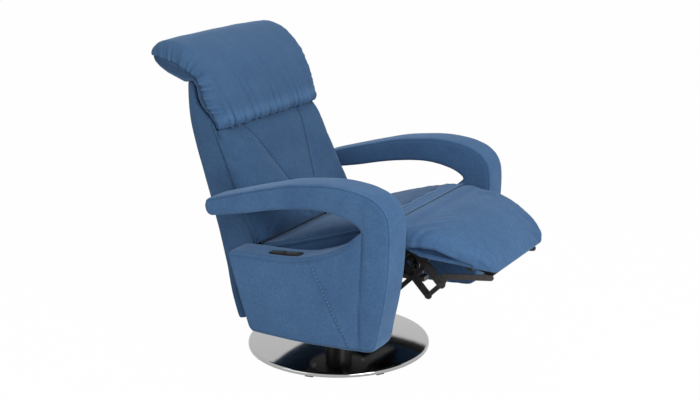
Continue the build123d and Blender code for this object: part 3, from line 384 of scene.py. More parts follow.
# %% Curves and sections
def through(knots, values, at):
    """Cubic through values at knots: slopes are chord slopes averaged by their neighbours' lengths."""
    values = np.asarray(values, float)
    shape = (-1,) + (1,) * (values.ndim - 1)
    width = np.diff(knots)
    chord = np.diff(values, axis=0) / width.reshape(shape)
    before, after = width[:-1].reshape(shape), width[1:].reshape(shape)
    inner = (chord[:-1] * after + chord[1:] * before) / (before + after)
    slope = np.concatenate([chord[:1], inner, chord[-1:]])
    spot = np.clip(np.searchsorted(knots, at, side="right") - 1, 0, len(knots) - 2)
    span = width[spot].reshape(shape)
    t = ((at - knots[spot]) / width[spot]).reshape(shape)
    left = (1 + 2 * t) * (1 - t) ** 2 * values[spot] + t * (1 - t) ** 2 * span * slope[spot]
    right = t**2 * (3 - 2 * t) * values[spot + 1] + t**2 * (t - 1) * span * slope[spot + 1]
    return left + right


def section_loop(top_count, corner_count, side_count, low_count):
    """Unit rounded rectangle: rows are place on the inner rectangle (2) and outward direction (2)."""
    run = np.linspace(-1, 1, top_count)
    back_run = np.linspace(1, -1, low_count)
    drop = np.linspace(1, -1, side_count)
    arc = np.linspace(0, np.pi / 2, corner_count + 2)[1:-1]
    rise, fall = np.sin(arc), np.cos(arc)
    pieces = (
        (run, 1, 0, 1),
        (1, 1, rise, fall),
        (1, drop, 1, 0),
        (1, -1, fall, -rise),
        (back_run, -1, 0, -1),
        (-1, -1, -rise, -fall),
        (-1, -drop, -1, 0),
        (-1, 1, -fall, rise),
    )
    rows = []
    for piece in pieces:
        lines = [np.atleast_1d(np.asarray(line, float)) for line in piece]
        rows.append(np.stack(np.broadcast_arrays(*lines)))
    return np.concatenate(rows, axis=1)


def side_columns(top_count, corner_count, side_count, low_count):
    """First and last column of the section's right side, then of its left side, from over to under."""
    right = top_count + corner_count
    left = right + side_count + 2 * corner_count + low_count
    return (right, right + side_count - 1), (left + side_count - 1, left)


def end_draw(distance, radius):
    """How far a rounded end draws a surface in at a distance from the end."""
    reach = np.clip(radius - distance, 0, radius)
    return radius - np.sqrt(np.maximum(radius**2 - reach**2, 0))


ROUND_LIMIT = 0.98
CROWN_FADE = 45
CROWN_POWER = 0.6
END_DRAWS = np.array((0.15, 0.4, 0.65, 0.85))


class Slab:
    """Grid of points between two side-view lines, with what is needed to place seams on it.

    A point is the middle between the lines, plus a rise along the direction that joins them, plus a
    distance across. Rise and distance follow a rounded rectangle; crown, sag and bow arch its faces.
    """

    def __init__(self, over, under, half, corner, count, runs, ends, end_width, crown=0, sag=0, bow=0):
        over, under = np.asarray(over, float), np.asarray(under, float)
        size = len(over)
        steps = [np.linalg.norm(np.diff(line, axis=0), axis=1) for line in (over, under)]
        self.knots = np.concatenate([[0], np.cumsum(sum(steps) / 2)])
        total = self.knots[-1]
        ease = 1 - np.cos(np.linspace(0, np.pi / 2, 7))
        first, last = max(ends[0], 1), max(ends[1], 1)
        body = np.linspace(first, total - last, count)[1:-1]
        along = np.concatenate([first * ease, body, total - last * ease[::-1]])
        tracks = [np.broadcast_to(np.asarray(one, float), (size,)) for one in (half, corner, crown, sag, bow)]
        half, corner, crown, sag, bow = (through(self.knots, track, along)[:, None] for track in tracks)
        top, low = through(self.knots, over, along), through(self.knots, under, along)
        middle, reach = (top + low) / 2, (top - low) / 2
        height = np.linalg.norm(reach, axis=1)[:, None]
        upward = reach / height
        away = [along[:, None], (total - along)[:, None]]
        room = (float(height[0, 0]) * ROUND_LIMIT, float(height[-1, 0]) * ROUND_LIMIT)
        for distance, radius, width, most in zip(away, ends, end_width, room):
            height = height - end_draw(distance, min(radius, most))
            half = half - end_draw(distance, width)
        place_a, place_b, out_a, out_b = section_loop(*runs)
        radius = np.minimum(corner, np.minimum(height, half) * ROUND_LIMIT)
        across = place_a * (half - radius) + radius * out_a
        rise = place_b * (height - radius) + radius * out_b
        fade = np.minimum(1, np.minimum(*away) / CROWN_FADE)
        arch = np.clip(1 - (across / half) ** 2, 0, 1) ** CROWN_POWER
        rise = rise + fade * arch * (crown * np.clip(out_b, 0, 1) - sag * np.clip(-out_b, 0, 1))
        across = across + bow * out_a * np.clip(1 - (rise / np.maximum(height, 1)) ** 2, 0, 1)
        side_view = middle[:, None, :] + rise[..., None] * upward[:, None, :]
        self.points = np.concatenate([across[..., None], side_view], axis=2)
        self.along, self.total = along, total
        self.out_a, self.out_b = (np.broadcast_to(row, across.shape) for row in (out_a, out_b))
        self.place_b = np.broadcast_to(place_b, across.shape)
        self.close()

    def close(self):
        """Rings drawn toward each end's middle, so that the ends are flat faces of the same grid."""
        draws = END_DRAWS[:, None, None]
        ends = []
        for ring, shares in ((self.points[0], draws), (self.points[-1], draws[::-1])):
            middle = ring.mean(axis=0)
            ends.append(middle + (ring - middle) * shares)
        self.points = np.concatenate([ends[0], self.points, ends[1]])
        extra = len(draws)
        self.along = np.concatenate([np.zeros(extra), self.along, np.full(extra, self.total)])
        for name in ("out_a", "out_b", "place_b"):
            rows = getattr(self, name)
            setattr(self, name, np.concatenate([rows[:1]] * extra + [rows] + [rows[-1:]] * extra))
        self.cap = np.zeros(self.points.shape[:2], bool)
        self.cap[:extra] = True
        self.cap[-extra:] = True

    def flat(self, values):
        """Grid values as one row per vertex, with the two end middles added."""
        values = np.asarray(values)
        values = values[:, None] if values.ndim == 1 else values
        values = np.broadcast_to(values, self.points.shape[:2])
        return np.concatenate([values.ravel(), values[0, :1], values[-1, :1]])

    def marks(self):
        """Per vertex: share that faces over, distance along, whether on an end, whether beneath."""
        over = self.flat(np.clip(self.out_b, 0, 1))
        return over, self.flat(self.along), self.flat(self.cap), self.flat(self.out_b) < -0.5


print("section points", section_loop(9, 4, 5, 9).shape)

# %% [markdown]
# ## From grid to cloth
# A grid becomes a closed mesh with from_pydata. Stuffing it is left to Blender's cloth solver: the mesh
# is blown up by a small pressure while its sewn lines are held, and no point may move further than a
# cap. Seams, gathers and stitches come after that, as moves along the surface normal.


# %% From grid to cloth
def make_mesh(name, points, faces):
    """Mesh object at the origin from millimetre points, its faces turned outwards."""
    mesh = bpy.data.meshes.new(name)
    mesh.from_pydata((np.asarray(points) * MM).tolist(), [], faces)
    sewing = bmesh.new()
    sewing.from_mesh(mesh)
    bmesh.ops.recalc_face_normals(sewing, faces=sewing.faces)
    sewing.to_mesh(mesh)
    sewing.free()
    mesh.polygons.foreach_set("use_smooth", np.ones(len(mesh.polygons), bool))
    piece = bpy.data.objects.new(name, mesh)
    scene.collection.objects.link(piece)
    return piece


def ring_quads(index):
    """Quads between neighbouring rows of a grid of vertex numbers, each row closed on itself."""
    turned = np.roll(index, -1, axis=1)
    return np.stack([index[:-1], turned[:-1], turned[1:], index[1:]], axis=2).reshape(-1, 4).tolist()


def slab_piece(name, points):
    """Closed mesh of a slab's grid: quads between neighbouring rings, a fan to the middle of each end."""
    rings, across = points.shape[:2]
    index = np.arange(rings * across).reshape(rings, across)
    faces = ring_quads(index)
    for middle, ring in ((rings * across, index[0]), (rings * across + 1, index[-1])):
        faces += np.stack([ring, np.roll(ring, -1), np.full(across, middle)], axis=1).tolist()
    middles = [points[0].mean(axis=0), points[-1].mean(axis=0)]
    return make_mesh(name, np.concatenate([points.reshape(-1, 3), middles]), faces)


def triples(items, what):
    """One row of three numbers for each vertex or face."""
    flat = np.empty(len(items) * 3)
    items.foreach_get(what, flat)
    return flat.reshape(-1, 3)


def places(piece):
    """Vertex places of a piece in millimetres."""
    return triples(piece.data.vertices, "co") / MM


def put(piece, points):
    """New vertex places, in millimetres."""
    piece.data.vertices.foreach_set("co", (np.asarray(points) * MM).ravel())
    piece.data.update()


def swell(piece, amount):
    """Every vertex moves along its unit normal by an amount in millimetres."""
    put(piece, places(piece) + triples(piece.data.vertices, "normal") * np.asarray(amount)[:, None])


def paint_shade_and_highlight(piece, seam):
    """The seam attribute that the cloth finish reads, from -1 (painted highlight) to 1 (painted shade)."""
    layer = piece.data.attributes.new("seam", "FLOAT", "POINT")
    layer.data.foreach_set("value", np.clip(seam, -1, 1).astype(np.float32))


STUFF_FRAMES = 18


def stuff(piece, held, pressure, cap):
    """Cloth pressure between held vertices; the move of each vertex is capped in millimetres."""
    start = places(piece)
    group = piece.vertex_groups.new(name="held")
    group.add(np.flatnonzero(held).tolist(), 1.0, "REPLACE")
    cloth = piece.modifiers.new("stuffing", "CLOTH")
    settings = cloth.settings
    settings.quality = 4
    settings.mass = 0.4
    settings.tension_stiffness = 12
    settings.compression_stiffness = 12
    settings.shear_stiffness = 6
    settings.bending_stiffness = 0.6
    settings.vertex_group_mass = group.name
    settings.use_pressure = True
    settings.uniform_pressure_force = pressure
    settings.effector_weights.gravity = 0
    cloth.point_cache.frame_start = 1
    cloth.point_cache.frame_end = STUFF_FRAMES
    for step in range(1, STUFF_FRAMES + 1):
        scene.frame_set(step)
    move = places(piece.evaluated_get(bpy.context.evaluated_depsgraph_get())) - start
    length = np.linalg.norm(move, axis=1, keepdims=True)
    move *= np.minimum(1, cap / np.maximum(length, 1e-9))
    piece.modifiers.remove(cloth)
    piece.vertex_groups.remove(group)
    scene.frame_set(1)
    put(piece, start + move)
    print(piece.name, "stuffed, largest move", round(float(np.linalg.norm(move, axis=1).max()), 1), "mm")


def soften(piece):
    """One subdivision, the same in the viewport and in renders."""
    smooth = piece.modifiers.new("smooth", "SUBSURF")
    smooth.levels = 1
    smooth.render_levels = 1


def dress(piece, body, *replaced, fill=None, cloth=CLOTH):
    """Cloth and body of an upholstered piece; the solids it replaces are hidden."""
    piece.data.materials.append(cloth)
    if replaced:
        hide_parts(*replaced)
    if body:
        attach(piece, body)


def line_underside(piece, limit, ceiling):
    """Black lining on the faces below a ceiling that look down."""
    facing, middle = (triples(piece.data.polygons, what)[:, 2] for what in ("normal", "center"))
    below = (facing < limit) & (middle < ceiling * MM)
    piece.data.materials.append(LINING)
    piece.data.polygons.foreach_set("material_index", below.astype(np.int32))


def push_out(points, centre, radius):
    """Points nearer than a radius to a line across the chair move straight out to it."""
    offset = points[..., 1:] - np.asarray(centre, float)
    distance = np.maximum(np.linalg.norm(offset, axis=-1, keepdims=True), 1e-6)
    moved = np.array(points)
    moved[..., 1:] += offset / distance * np.maximum(radius - distance, 0)
    return moved


def ripple(value, period, phase):
    """Uneven folds: three sines of unlike periods, from -1 to 1."""
    turn = 2 * np.pi * value / period
    slow = np.sin(turn * 0.37 + phase * 1.7)
    return 0.5 * np.sin(turn + 1.3 * slow + phase) + 0.3 * np.sin(turn * 1.73 + 2.1 * phase) + 0.2 * slow


def groove(distance, width):
    """Bell-shaped share, 1 on a line and nothing a few widths away."""
    return np.exp(-((distance / width) ** 2))


def column_distance(slab, columns):
    """Distance round the section from the nearest of some columns, one value per vertex."""
    steps = np.linalg.norm(np.diff(slab.points, axis=1, append=slab.points[:, :1]), axis=2)
    run = np.cumsum(steps, axis=1) - steps
    gaps = [np.abs(run - run[:, column:column + 1]) for column in columns]
    return slab.flat(np.min(gaps, axis=0))


def line_distance(y, z, start, end):
    """Distance of side-view points from a straight seam between two points."""
    run = np.subtract(end, start)
    length = np.hypot(*run)
    t = np.clip(((y - start[0]) * run[0] + (z - start[1]) * run[1]) / length**2, 0, 1)
    return np.hypot(y - start[0] - t * run[0], z - start[1] - t * run[1])


# %% [markdown]
# ## Floor disc
# The disc is turned again as a fine mesh, because a mirror-like sheet shows every facet of a coarse one.
# Its profile is an arc from the hub's flange to a rolled rim, given by its height at three radii.

# %% Floor disc
DISC_RADIUS = 285
DISC_HOLE = 62
DISC_SHEET = 2
DISC_RISE = ((84, 27), (190, 23.5), (278, 17))
RIM_FOOT = 5.5
DISC_SIDES = 240

bend = np.polyfit(*np.transpose(DISC_RISE), 2)
dome_r = np.linspace(DISC_RISE[0][0], DISC_RISE[2][0], 40)
rim_turn = np.radians(np.linspace(80, 0, 9))
rim_roll = DISC_RADIUS - DISC_RISE[2][0]
rim_mid = (DISC_RISE[2][0], DISC_RISE[2][1] - rim_roll)
outside = np.concatenate([
    ((DISC_HOLE, DISC_RISE[0][1]),),
    np.stack([dome_r, np.polyval(bend, dome_r)], axis=1),
    np.stack([rim_mid[0] + rim_roll * np.cos(rim_turn), rim_mid[1] + rim_roll * np.sin(rim_turn)], axis=1),
    ((DISC_RADIUS, RIM_FOOT),),
])
inside = np.stack([
    np.minimum(outside[:, 0], DISC_RADIUS - DISC_SHEET),
    np.maximum(outside[:, 1] - DISC_SHEET, RIM_FOOT),
], axis=1)[::-1]
profile = np.concatenate([outside, inside])
disc_turn = np.linspace(0, 2 * np.pi, DISC_SIDES, endpoint=False)
disc_points = np.stack([
    np.multiply.outer(np.cos(disc_turn), profile[:, 0]),
    np.multiply.outer(np.sin(disc_turn), profile[:, 0]),
    np.broadcast_to(profile[:, 1], (DISC_SIDES, len(profile))),
], axis=2)
index = np.arange(DISC_SIDES * len(profile)).reshape(DISC_SIDES, -1)
ahead, aside = np.roll(index, -1, axis=0), np.roll(index, -1, axis=1)
corner = np.roll(ahead, -1, axis=1)
disc_faces = np.stack([index, ahead, corner, aside], axis=2).reshape(-1, 4).tolist()
disc = make_mesh("floor_disc", disc_points.reshape(-1, 3), disc_faces)
disc.data.materials.append(FINISHES["steel_brushed"])
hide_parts("base_cover")
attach(disc, "base")
print("disc points", index.size)

# %% [markdown]
# ## Stitches
# Thread is geometry: each stitch is a slim eight-faced spindle laid on the cloth along a seam. The row
# is made at once as arrays, one spindle repeated at even steps of arc length.


# %% Stitches
THREAD = coat(
    "blue_thread", (0.19, 0.31, 0.48), (0.27, 0.41, 0.59), 300, EVEN, (0.55, 0.75), 0.3, 0.0, 0.3
)


def read_at(at, reach, rows):
    """Rows of a path, read at distances along it."""
    return np.stack([np.interp(at, reach, rows[:, axis]) for axis in range(3)], axis=1)


def unit(rows):
    """Every row brought to length 1."""
    return rows / np.linalg.norm(rows, axis=1, keepdims=True)


def spindles(path, upward, pitch, length, radius):
    """Vertices and faces of a stitch row: ends at plus and minus half a length, a square waist."""
    steps = np.linalg.norm(np.diff(path, axis=0), axis=1)
    reach = np.concatenate([[0], np.cumsum(steps)])
    at = np.arange(pitch, reach[-1] - pitch, pitch)
    centre = read_at(at, reach, path)
    lift = unit(read_at(at, reach, upward))
    ahead = read_at(at + 1, reach, path) - centre
    ahead /= np.maximum(np.linalg.norm(ahead, axis=1, keepdims=True), 1e-9)
    aside = np.cross(ahead, lift)
    centre = centre + lift * radius * 0.35
    half = length / 2
    ring = (ahead * half, lift * radius, aside * radius, -lift * radius, -aside * radius, -ahead * half)
    points = np.stack([centre + offset for offset in ring], axis=1).reshape(-1, 3)
    shape = np.array([(0, 1, 2), (0, 2, 3), (0, 3, 4), (0, 4, 1), (5, 2, 1), (5, 3, 2), (5, 4, 3), (5, 1, 4)])
    faces = (shape[None] + 6 * np.arange(len(at))[:, None, None]).reshape(-1, 3)
    return points, faces


def stitching(name, body, rows, pitch=7.5, length=5.6, radius=0.95):
    """One piece of thread from several rows; a row is a path and the normals along it."""
    points, faces, used = [], [], 0
    for path, upward in rows:
        row_points, row_faces = spindles(np.asarray(path), np.asarray(upward), pitch, length, radius)
        points.append(row_points)
        faces.append(row_faces + used)
        used += len(row_points)
    piece = make_mesh(name, np.concatenate(points), np.concatenate(faces).tolist())
    piece.data.materials.append(THREAD)
    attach(piece, body)
    print(name, "stitches", used // 6)


def on_cloth(piece, points):
    """Nearest places on a piece and the normals there, for a row of points in millimetres."""
    surface = BVHTree.FromObject(piece, bpy.context.evaluated_depsgraph_get())
    found = [surface.find_nearest(Vector(point) * MM) for point in np.asarray(points)]
    return np.array([hit[0] for hit in found]) / MM, np.array([hit[1] for hit in found])


# %% [markdown]
# ## Arms
# Each arm is a C open to the rear, made of a padded panel on both faces and a band round its edge. The
# slab runs from the rear end of the top, over the nose, down the front and along the base. Its outer
# line is the outside of the C and its inner line is the gap and the ledge. Grooves mark the upright seam
# under the gap, the slanting seam behind it and both edges of the band. On the near arm the cloth
# is tucked in round the control panel.

# %% Arms
ARM_PAIRS = np.array((
    (235, 529, 223, 480),
    (190, 542, 178, 490),
    (102, 568, 90, 508),
    (20, 591, 12, 527),
    (-50, 609, -49, 539),
    (-115, 619, -115, 548),
    (-180, 626, -163, 550),
    (-242, 625, -211, 545),
    (-295, 617, -245, 537),
    (-335, 602, -265, 529),
    (-362, 579, -277, 522),
    (-376, 550, -284.5, 516),
    (-380, 515, -287, 511),
    (-380, 476, -286.8, 509),
    (-377, 420, -286.3, 507.2),
    (-372, 370, -285.5, 505.8),
    (-358, 287, -284.5, 504.6),
    (-345, 230, -283.4, 503.7),
    (-336, 186, -282.4, 503.2),
    (-328, 171, -281.9, 502.8),
    (-312, 165, -281.4, 502.4),
    (-281, 163, -280, 501),
    (-272, 162, -226, 457),
    (-263, 161, -162, 425),
    (-254, 160, -117, 410),
    (-200, 157, -75, 400.5),
    (-93, 151, 0, 393),
    (0, 151, 75, 390),
    (50, 151.5, 125, 387.5),
    (83, 152, 157, 384),
), float)
ARM_MID = 325
ARM_HALF = 49
ARM_CORNER = 10
UPRIGHT_SEAM = ((-282, 163), (-295, 508))
SLANT_SEAM = ((-254, 160), (-117, 410))
SLANT_ACROSS = 378
PANEL_MID = np.array((-331, -22, 397))
PANEL_TILT = np.radians(5.4)
PANEL_HALF = (52.5, 14)
PANEL_TUCK = 5.0

ARM_RUNS = (13, 5, 22, 13)
BAND_IN = 2
right_side, left_side = side_columns(*ARM_RUNS)
LEDGE_EDGE = right_side[1]
OUTER_EDGE = right_side[0] - BAND_IN
FAR_EDGE = left_side[0] + BAND_IN

arm_slab = Slab(
    ARM_PAIRS[:, :2], ARM_PAIRS[:, 2:], ARM_HALF, ARM_CORNER, 190, ARM_RUNS,
    (18, 12), (10, 10), crown=2.5, sag=1.5, bow=2.5,
)


def panel_recess(points):
    """How deep the cloth is tucked in round the control panel, from the distance inside its outline."""
    offset = points - PANEL_MID
    ahead = offset[:, 1] * -np.cos(PANEL_TILT) + offset[:, 2] * np.sin(PANEL_TILT)
    inside = np.minimum(PANEL_HALF[0] - np.abs(ahead), PANEL_HALF[1] - np.abs(offset[:, 0]))
    return np.clip((inside + 3) / 5, 0, 1) * PANEL_TUCK * (np.abs(offset[:, 2]) < 25)


for side_name, side in (("right", -1), ("left", 1)):
    arm_points = arm_slab.points * np.array((side, 1, 1)) + np.array((side * ARM_MID, 0, 0))
    arm = slab_piece("arm_" + side_name, arm_points)
    y, z = places(arm)[:, 1:].T
    outer = arm_slab.flat(np.clip(arm_slab.out_a, 0, 1))
    either = arm_slab.flat(np.abs(arm_slab.out_a))
    edge_sink = groove(column_distance(arm_slab, (OUTER_EDGE, FAR_EDGE)), 2.6)
    ledge_sink = groove(column_distance(arm_slab, (LEDGE_EDGE,)), 2.6) * np.clip((500 - z) / 40, 0, 0.5)
    edge_sink = np.maximum(edge_sink, ledge_sink) * ~arm_slab.flat(arm_slab.cap)
    seam_shade = np.maximum(
        groove(line_distance(y, z, *UPRIGHT_SEAM), 3.6), groove(line_distance(y, z, *SLANT_SEAM), 3.2)
    ) * (outer > 0.9)
    wave = ripple(y + 0.6 * z, 130, 0.4 + side) * ripple(z - 0.3 * y, 170, 1.9) * either
    band = np.clip((UPRIGHT_SEAM[1][0] - y) / 14, 0, 1) * (outer > 0.9)
    swell(arm, 0.7 * wave + 1.6 * band - 1.5 * edge_sink - 2.4 * seam_shade)
    if side < 0:
        put(arm, places(arm) - np.array((0, 0, 1)) * panel_recess(places(arm))[:, None])
    # Painted shade in the grooves at the band's edges, the ledge and the seams, and a little over the whole
    # inner face.
    inner = arm_slab.flat(np.clip(-arm_slab.out_a, 0, 1))
    paint_shade_and_highlight(arm, 0.55 * edge_sink + 0.6 * seam_shade + 0.25 * inner)
    soften(arm)
    dress(arm, "carriage", "arm_outer_" + side_name, "arm_inner_" + side_name, fill=0.9)
    line_underside(arm, -0.8, 200)
    band_row = on_cloth(arm, arm_points[6:-6:2, OUTER_EDGE - 2])
    stitching("arm_thread_" + side_name, "carriage", [band_row], radius=0.6)
    run = np.linspace(0.02, 0.98, 40)[:, None]
    slant = np.asarray(SLANT_SEAM[0]) + run * np.subtract(SLANT_SEAM[1], SLANT_SEAM[0])
    slant_row = np.concatenate([np.full((40, 1), side * SLANT_ACROSS), slant + (-3, 0)], axis=1)
    slant_row = on_cloth(arm, slant_row)
    stitching("slant_thread_" + side_name, "carriage", [slant_row], pitch=11.0, radius=1.2)
print("arm points", arm_slab.points.shape)

# %% [markdown]
# ## Seat
# The seat rises toward the front at about 19 degrees and ends in a hollow round the knee roll, so the
# footrest can swing in it. It is crowned across, and the cloth is pulled into fine folds at its front
# seam. In front of that seam a thin lip lies over the roll, a shade paler from painted highlight. Painted
# shade darkens the top a little, more in the fold valleys and side seams. The underside is black lining.

# %% Seat
KNEE = (-331, 419)
KNEE_CLEAR = 86.5
SHAFT = (55, 262)
SHAFT_CLEAR = 48
SEAT_PAIRS = np.array((
    (113, 384, 80, 271),
    (60, 397, 30, 288),
    (0, 414, -30, 308.5),
    (-80, 441, -100, 332),
    (-160, 467, -170, 356),
    (-221, 486, -215, 371.5),
    (-256, 495.5, -240, 380),
    (-264, 496.5, -245, 412),
    (-273, 497.5, -248, 444),
    (-283, 498.7, -262, 471),
    (-293, 500.3, -284, 491.5),
    (-303, 502.2, -300.5, 500.2),
), float)
SEAT_HALF = 266
SEAT_WIDE = (266, 266, 266, 266, 266, 266, 266, 266, 265, 264, 263, 262)
LIP_SEAM = -254
LIP_TOP = 505
SEAT_RUNS = (76, 5, 14, 30)
SEAT_EDGES = [columns[0] for columns in side_columns(*SEAT_RUNS)]

seat_slab = Slab(
    SEAT_PAIRS[:, :2], SEAT_PAIRS[:, 2:], SEAT_WIDE, 15, 84, SEAT_RUNS,
    (12, 1), (14, 3), crown=(0, 1, 9, 13, 12, 9, 5, 4, 3, 2, 1, 0), bow=2,
)
seat_slab.points = push_out(push_out(seat_slab.points, KNEE, KNEE_CLEAR), SHAFT, SHAFT_CLEAR)
seat = slab_piece("seat_cover", seat_slab.points)
seat_top, seat_along, seat_cap, seat_below = seat_slab.marks()
front = seat_slab.total - seat_along
stuff(seat, seat_cap | seat_below | (front < 75) | (seat_along < 75), 3.0, 9)
x, y = places(seat)[:, :2].T
pulls = ripple(x, 34, 0.8) * np.exp(-front / 70)
sides = np.exp(-(SEAT_HALF - np.abs(x)) / 30) * ripple(seat_along, 46, 2.2 + np.sign(x))
slack = ripple(x + 0.5 * seat_along, 150, 0.3) * ripple(seat_along, 120, 1.1)
side_seam = groove(column_distance(seat_slab, SEAT_EDGES), 2.6) * np.clip((front - 40) / 40, 0, 1)
away_ends = np.clip((front - 25) / 50, 0, 1) * np.clip(seat_along / 90 - 0.4, 0, 1)
creases = ripple(seat_along + 0.25 * x, 24, 1.0) * groove(front - 95, 42)
folds = (2.2 * pulls + 1.6 * sides + 1.8 * slack + 2.6 * creases) * seat_top * away_ends
swell(seat, (folds - 1.6 * side_seam) * ~seat_cap)
# The lip gets painted highlight. The rest of the top gets painted shade, a little everywhere and more in
# crease valleys and at the side seams.
lip_highlight = np.clip((LIP_SEAM - y) / 8, 0, 1) * seat_top
seat_shade = 0.25 + 0.45 * np.clip(-creases, 0, 1)
paint_shade_and_highlight(seat, 0.5 * side_seam + seat_shade * (1 - lip_highlight) - 0.55 * lip_highlight)
soften(seat)
dress(seat, "seat", "seat_cushion", fill=0.75, cloth=CLOTH_SHADED)
line_underside(seat, -0.7, 600)
lip = np.linspace(-250, 250, 80)
lip_row = np.stack([lip, np.full_like(lip, LIP_SEAM), np.full_like(lip, LIP_TOP)], axis=1)
beside_seams = (SEAT_EDGES[0] - 2, SEAT_EDGES[1] + 2)
side_rows = [on_cloth(seat, seat_slab.points[10:-10:2, column]) for column in beside_seams]
stitching("seat_thread", "seat", side_rows, radius=0.7)
stitching("lip_thread", "seat", [on_cloth(seat, lip_row)], pitch=6.0, length=7.4, radius=1.5)
print("seat points", len(x))

# %% [markdown]
# ## Footrest
# The footrest is one tongue-shaped pad. Its heel is a roll about the knee pivot, which turns inside the
# seat's hollow, and its sides narrow toward the toe. The cloth is gathered round the rim, and an arched
# tuck on each side parts the pad from the gusset under its heel.

# %% Footrest
ROLL = 84
ROLL_CORE = 40
ROLL_HELD = 118
roll_turn = np.radians(np.array((10, 30, 50, 70, 88)))
roll_dirs = np.stack([np.cos(roll_turn), np.sin(roll_turn)], axis=1)
foot_over = np.concatenate([
    KNEE + ROLL * roll_dirs,
    ((-365, 497), (-400, 496), (-460, 487), (-520, 467), (-568, 443), (-596, 419), (-607, 403)),
])
foot_under = np.concatenate([
    KNEE + ROLL_CORE * roll_dirs,
    ((-358, 437), (-395, 420), (-450, 409), (-510, 401), (-560, 392), (-590, 386), (-603, 383)),
])
foot_half = (256, 258, 259, 260, 261, 260, 255, 238, 215, 195, 179, 166)
foot_slab = Slab(
    foot_over, foot_under, foot_half, 20, 84, (76, 6, 16, 40), (6, 9), (8, 22),
    crown=(1, 1, 1, 1, 1, 5, 7, 9, 9, 8, 5, 3), sag=(0, 0, 0, 0, 0, -6, -11, -9, -3, 0, 0, 0), bow=3,
)
TUCK_LINE = np.array(((-352, 436), (-378, 446), (-410, 450), (-446, 447), (-497, 424), (-540, 404)), float)

foot = slab_piece("foot_cover", foot_slab.points)
foot_top, foot_along, foot_cap, foot_below = foot_slab.marks()
stuff(foot, foot_cap | (foot_along < ROLL_HELD) | foot_below, 3.0, 8)
x, y, z = places(foot).T
from_rim = np.interp(foot_along, foot_slab.knots, foot_half) - np.abs(x)
uneven = np.clip(0.5 + ripple(x + 0.6 * foot_along, 110, 0.4), 0, 1)
gathers = ripple(foot_along + 0.2 * x, 34, 1.4 + np.sign(x)) * np.exp(-from_rim / 26) * uneven
toe = np.exp(-(foot_slab.total - foot_along) / 34) * ripple(x, 36, 0.2)
slack = ripple(x - 0.4 * foot_along, 160, 2.0) * ripple(foot_along, 140, 0.5)
calm = np.clip((foot_along - 100) / 60, 0.12, 1)
beside = np.clip(2 * foot_slab.flat(np.abs(foot_slab.out_a)) - 0.6, 0, 1)
tuck_gap = [line_distance(y, z, *ends) for ends in zip(TUCK_LINE[:-1], TUCK_LINE[1:])]
tuck = groove(np.min(tuck_gap, axis=0), 4.5) * beside
tuck_z = np.interp(-y, -TUCK_LINE[:, 0], TUCK_LINE[:, 1], left=0, right=0)
gusset = np.clip((tuck_z - z) / 5, 0, 1) * np.clip((y - TUCK_LINE[-1, 0]) / 60, 0, 1) * beside
slanted = ripple(0.7 * np.abs(x) + foot_along, 36, 1.2) * np.exp(-from_rim / 110)
knee_folds = slanted * groove(foot_along - 165, 45)
folds = (1.6 * gathers + 1.2 * toe + 1.3 * slack + 4.2 * knee_folds) * np.maximum(foot_top, 0.4) * calm
pinch = np.clip(ripple(foot_along, 25, 2.0), 0, 1) * np.exp(-from_rim / 20)
pinch = 4.5 * pinch * groove(foot_along - 105, 45)
swell(foot, (folds - pinch - 6.0 * tuck - 18.0 * gusset) * ~foot_cap)
# Painted shade in the tucks, on the gusset under the heel and in the valleys of the knee folds.
paint_shade_and_highlight(foot, np.maximum(tuck, gusset) + 0.45 * np.clip(-knee_folds, 0, 1))
soften(foot)
dress(foot, "foot", "foot_pad", fill=0.8)
print("footrest points", len(x))

# %% [markdown]
# ## Back
# The back is a closed shell wrapped in cloth: a rear panel, two cheeks and a skirt behind the arms. On
# its front lie the pads, three fields divided by two seams that run together toward the seat. A welt
# closes the joint between cheek and pad.

# %% Back shell
BACK_FOOT = np.array((126, 379))
LEAN = np.radians(23)


def spine(along, out):
    """Back point: distance up from the lower welt, distance out to the front."""
    up = np.array((np.sin(LEAN), np.cos(LEAN)))
    forward = np.array((-np.cos(LEAN), np.sin(LEAN)))
    return BACK_FOOT + np.multiply.outer(along, up) + np.multiply.outer(out, forward)


BACK_HALF = 262
SHELL_PAIRS = np.array((
    (169, 140, 198, 132),
    (180, 177, 211, 171),
    (192, 210, 221, 205),
    (201, 250, 230, 249),
    (206, 290, 238, 295),
    (207, 312, 243, 317),
    (200, 332, 248, 337),
    (178, 354, 254, 361),
    (152, 369, 259, 381),
    (131, 383, 264, 401),
    (139, 407, 273, 433),
    (166, 471, 288, 485),
    (205, 563, 313, 571),
    (244, 655, 341, 661),
    (277, 733, 358, 736),
    (305, 760, 361, 767),
    (328, 785, 362, 798),
    (338, 844, 362, 844),
), float)
shell_slab = Slab(
    SHELL_PAIRS[:, :2], SHELL_PAIRS[:, 2:], BACK_HALF, 8, 120, (40, 4, 14, 40), (5, 4), (9, 6),
    sag=(1, 2, 3, 3, 3, 3, 3, 4, 4, 4, 5, 6, 6, 5, 4, 3, 2, 1), bow=3,
)
shell = slab_piece("back_cover", shell_slab.points)
x, z = places(shell)[:, ::2].T
slack = ripple(x + 0.5 * z, 190, 0.7) * ripple(z, 210, 1.6)
rear_face = shell_slab.flat(np.clip(-shell_slab.out_b, 0, 1))
cheek = shell_slab.flat(np.abs(shell_slab.out_a))
rear_seam = groove(np.abs(np.abs(x) - (BACK_HALF - 12)), 2.6) * (rear_face > 0.6)
swell(shell, 1.3 * slack * np.maximum(rear_face, cheek) - 1.4 * rear_seam)
# Painted shade in the rear seam grooves.
paint_shade_and_highlight(shell, 0.6 * rear_seam)
soften(shell)
dress(shell, "back", "back_shell", fill=0.9, cloth=CLOTH_SHADED)
print("shell points", len(x))

# %% [markdown]
# The pads are stuffed by the cloth solver with their two seams held, so each field swells on its own
# and the cloth pulls toward the thread.

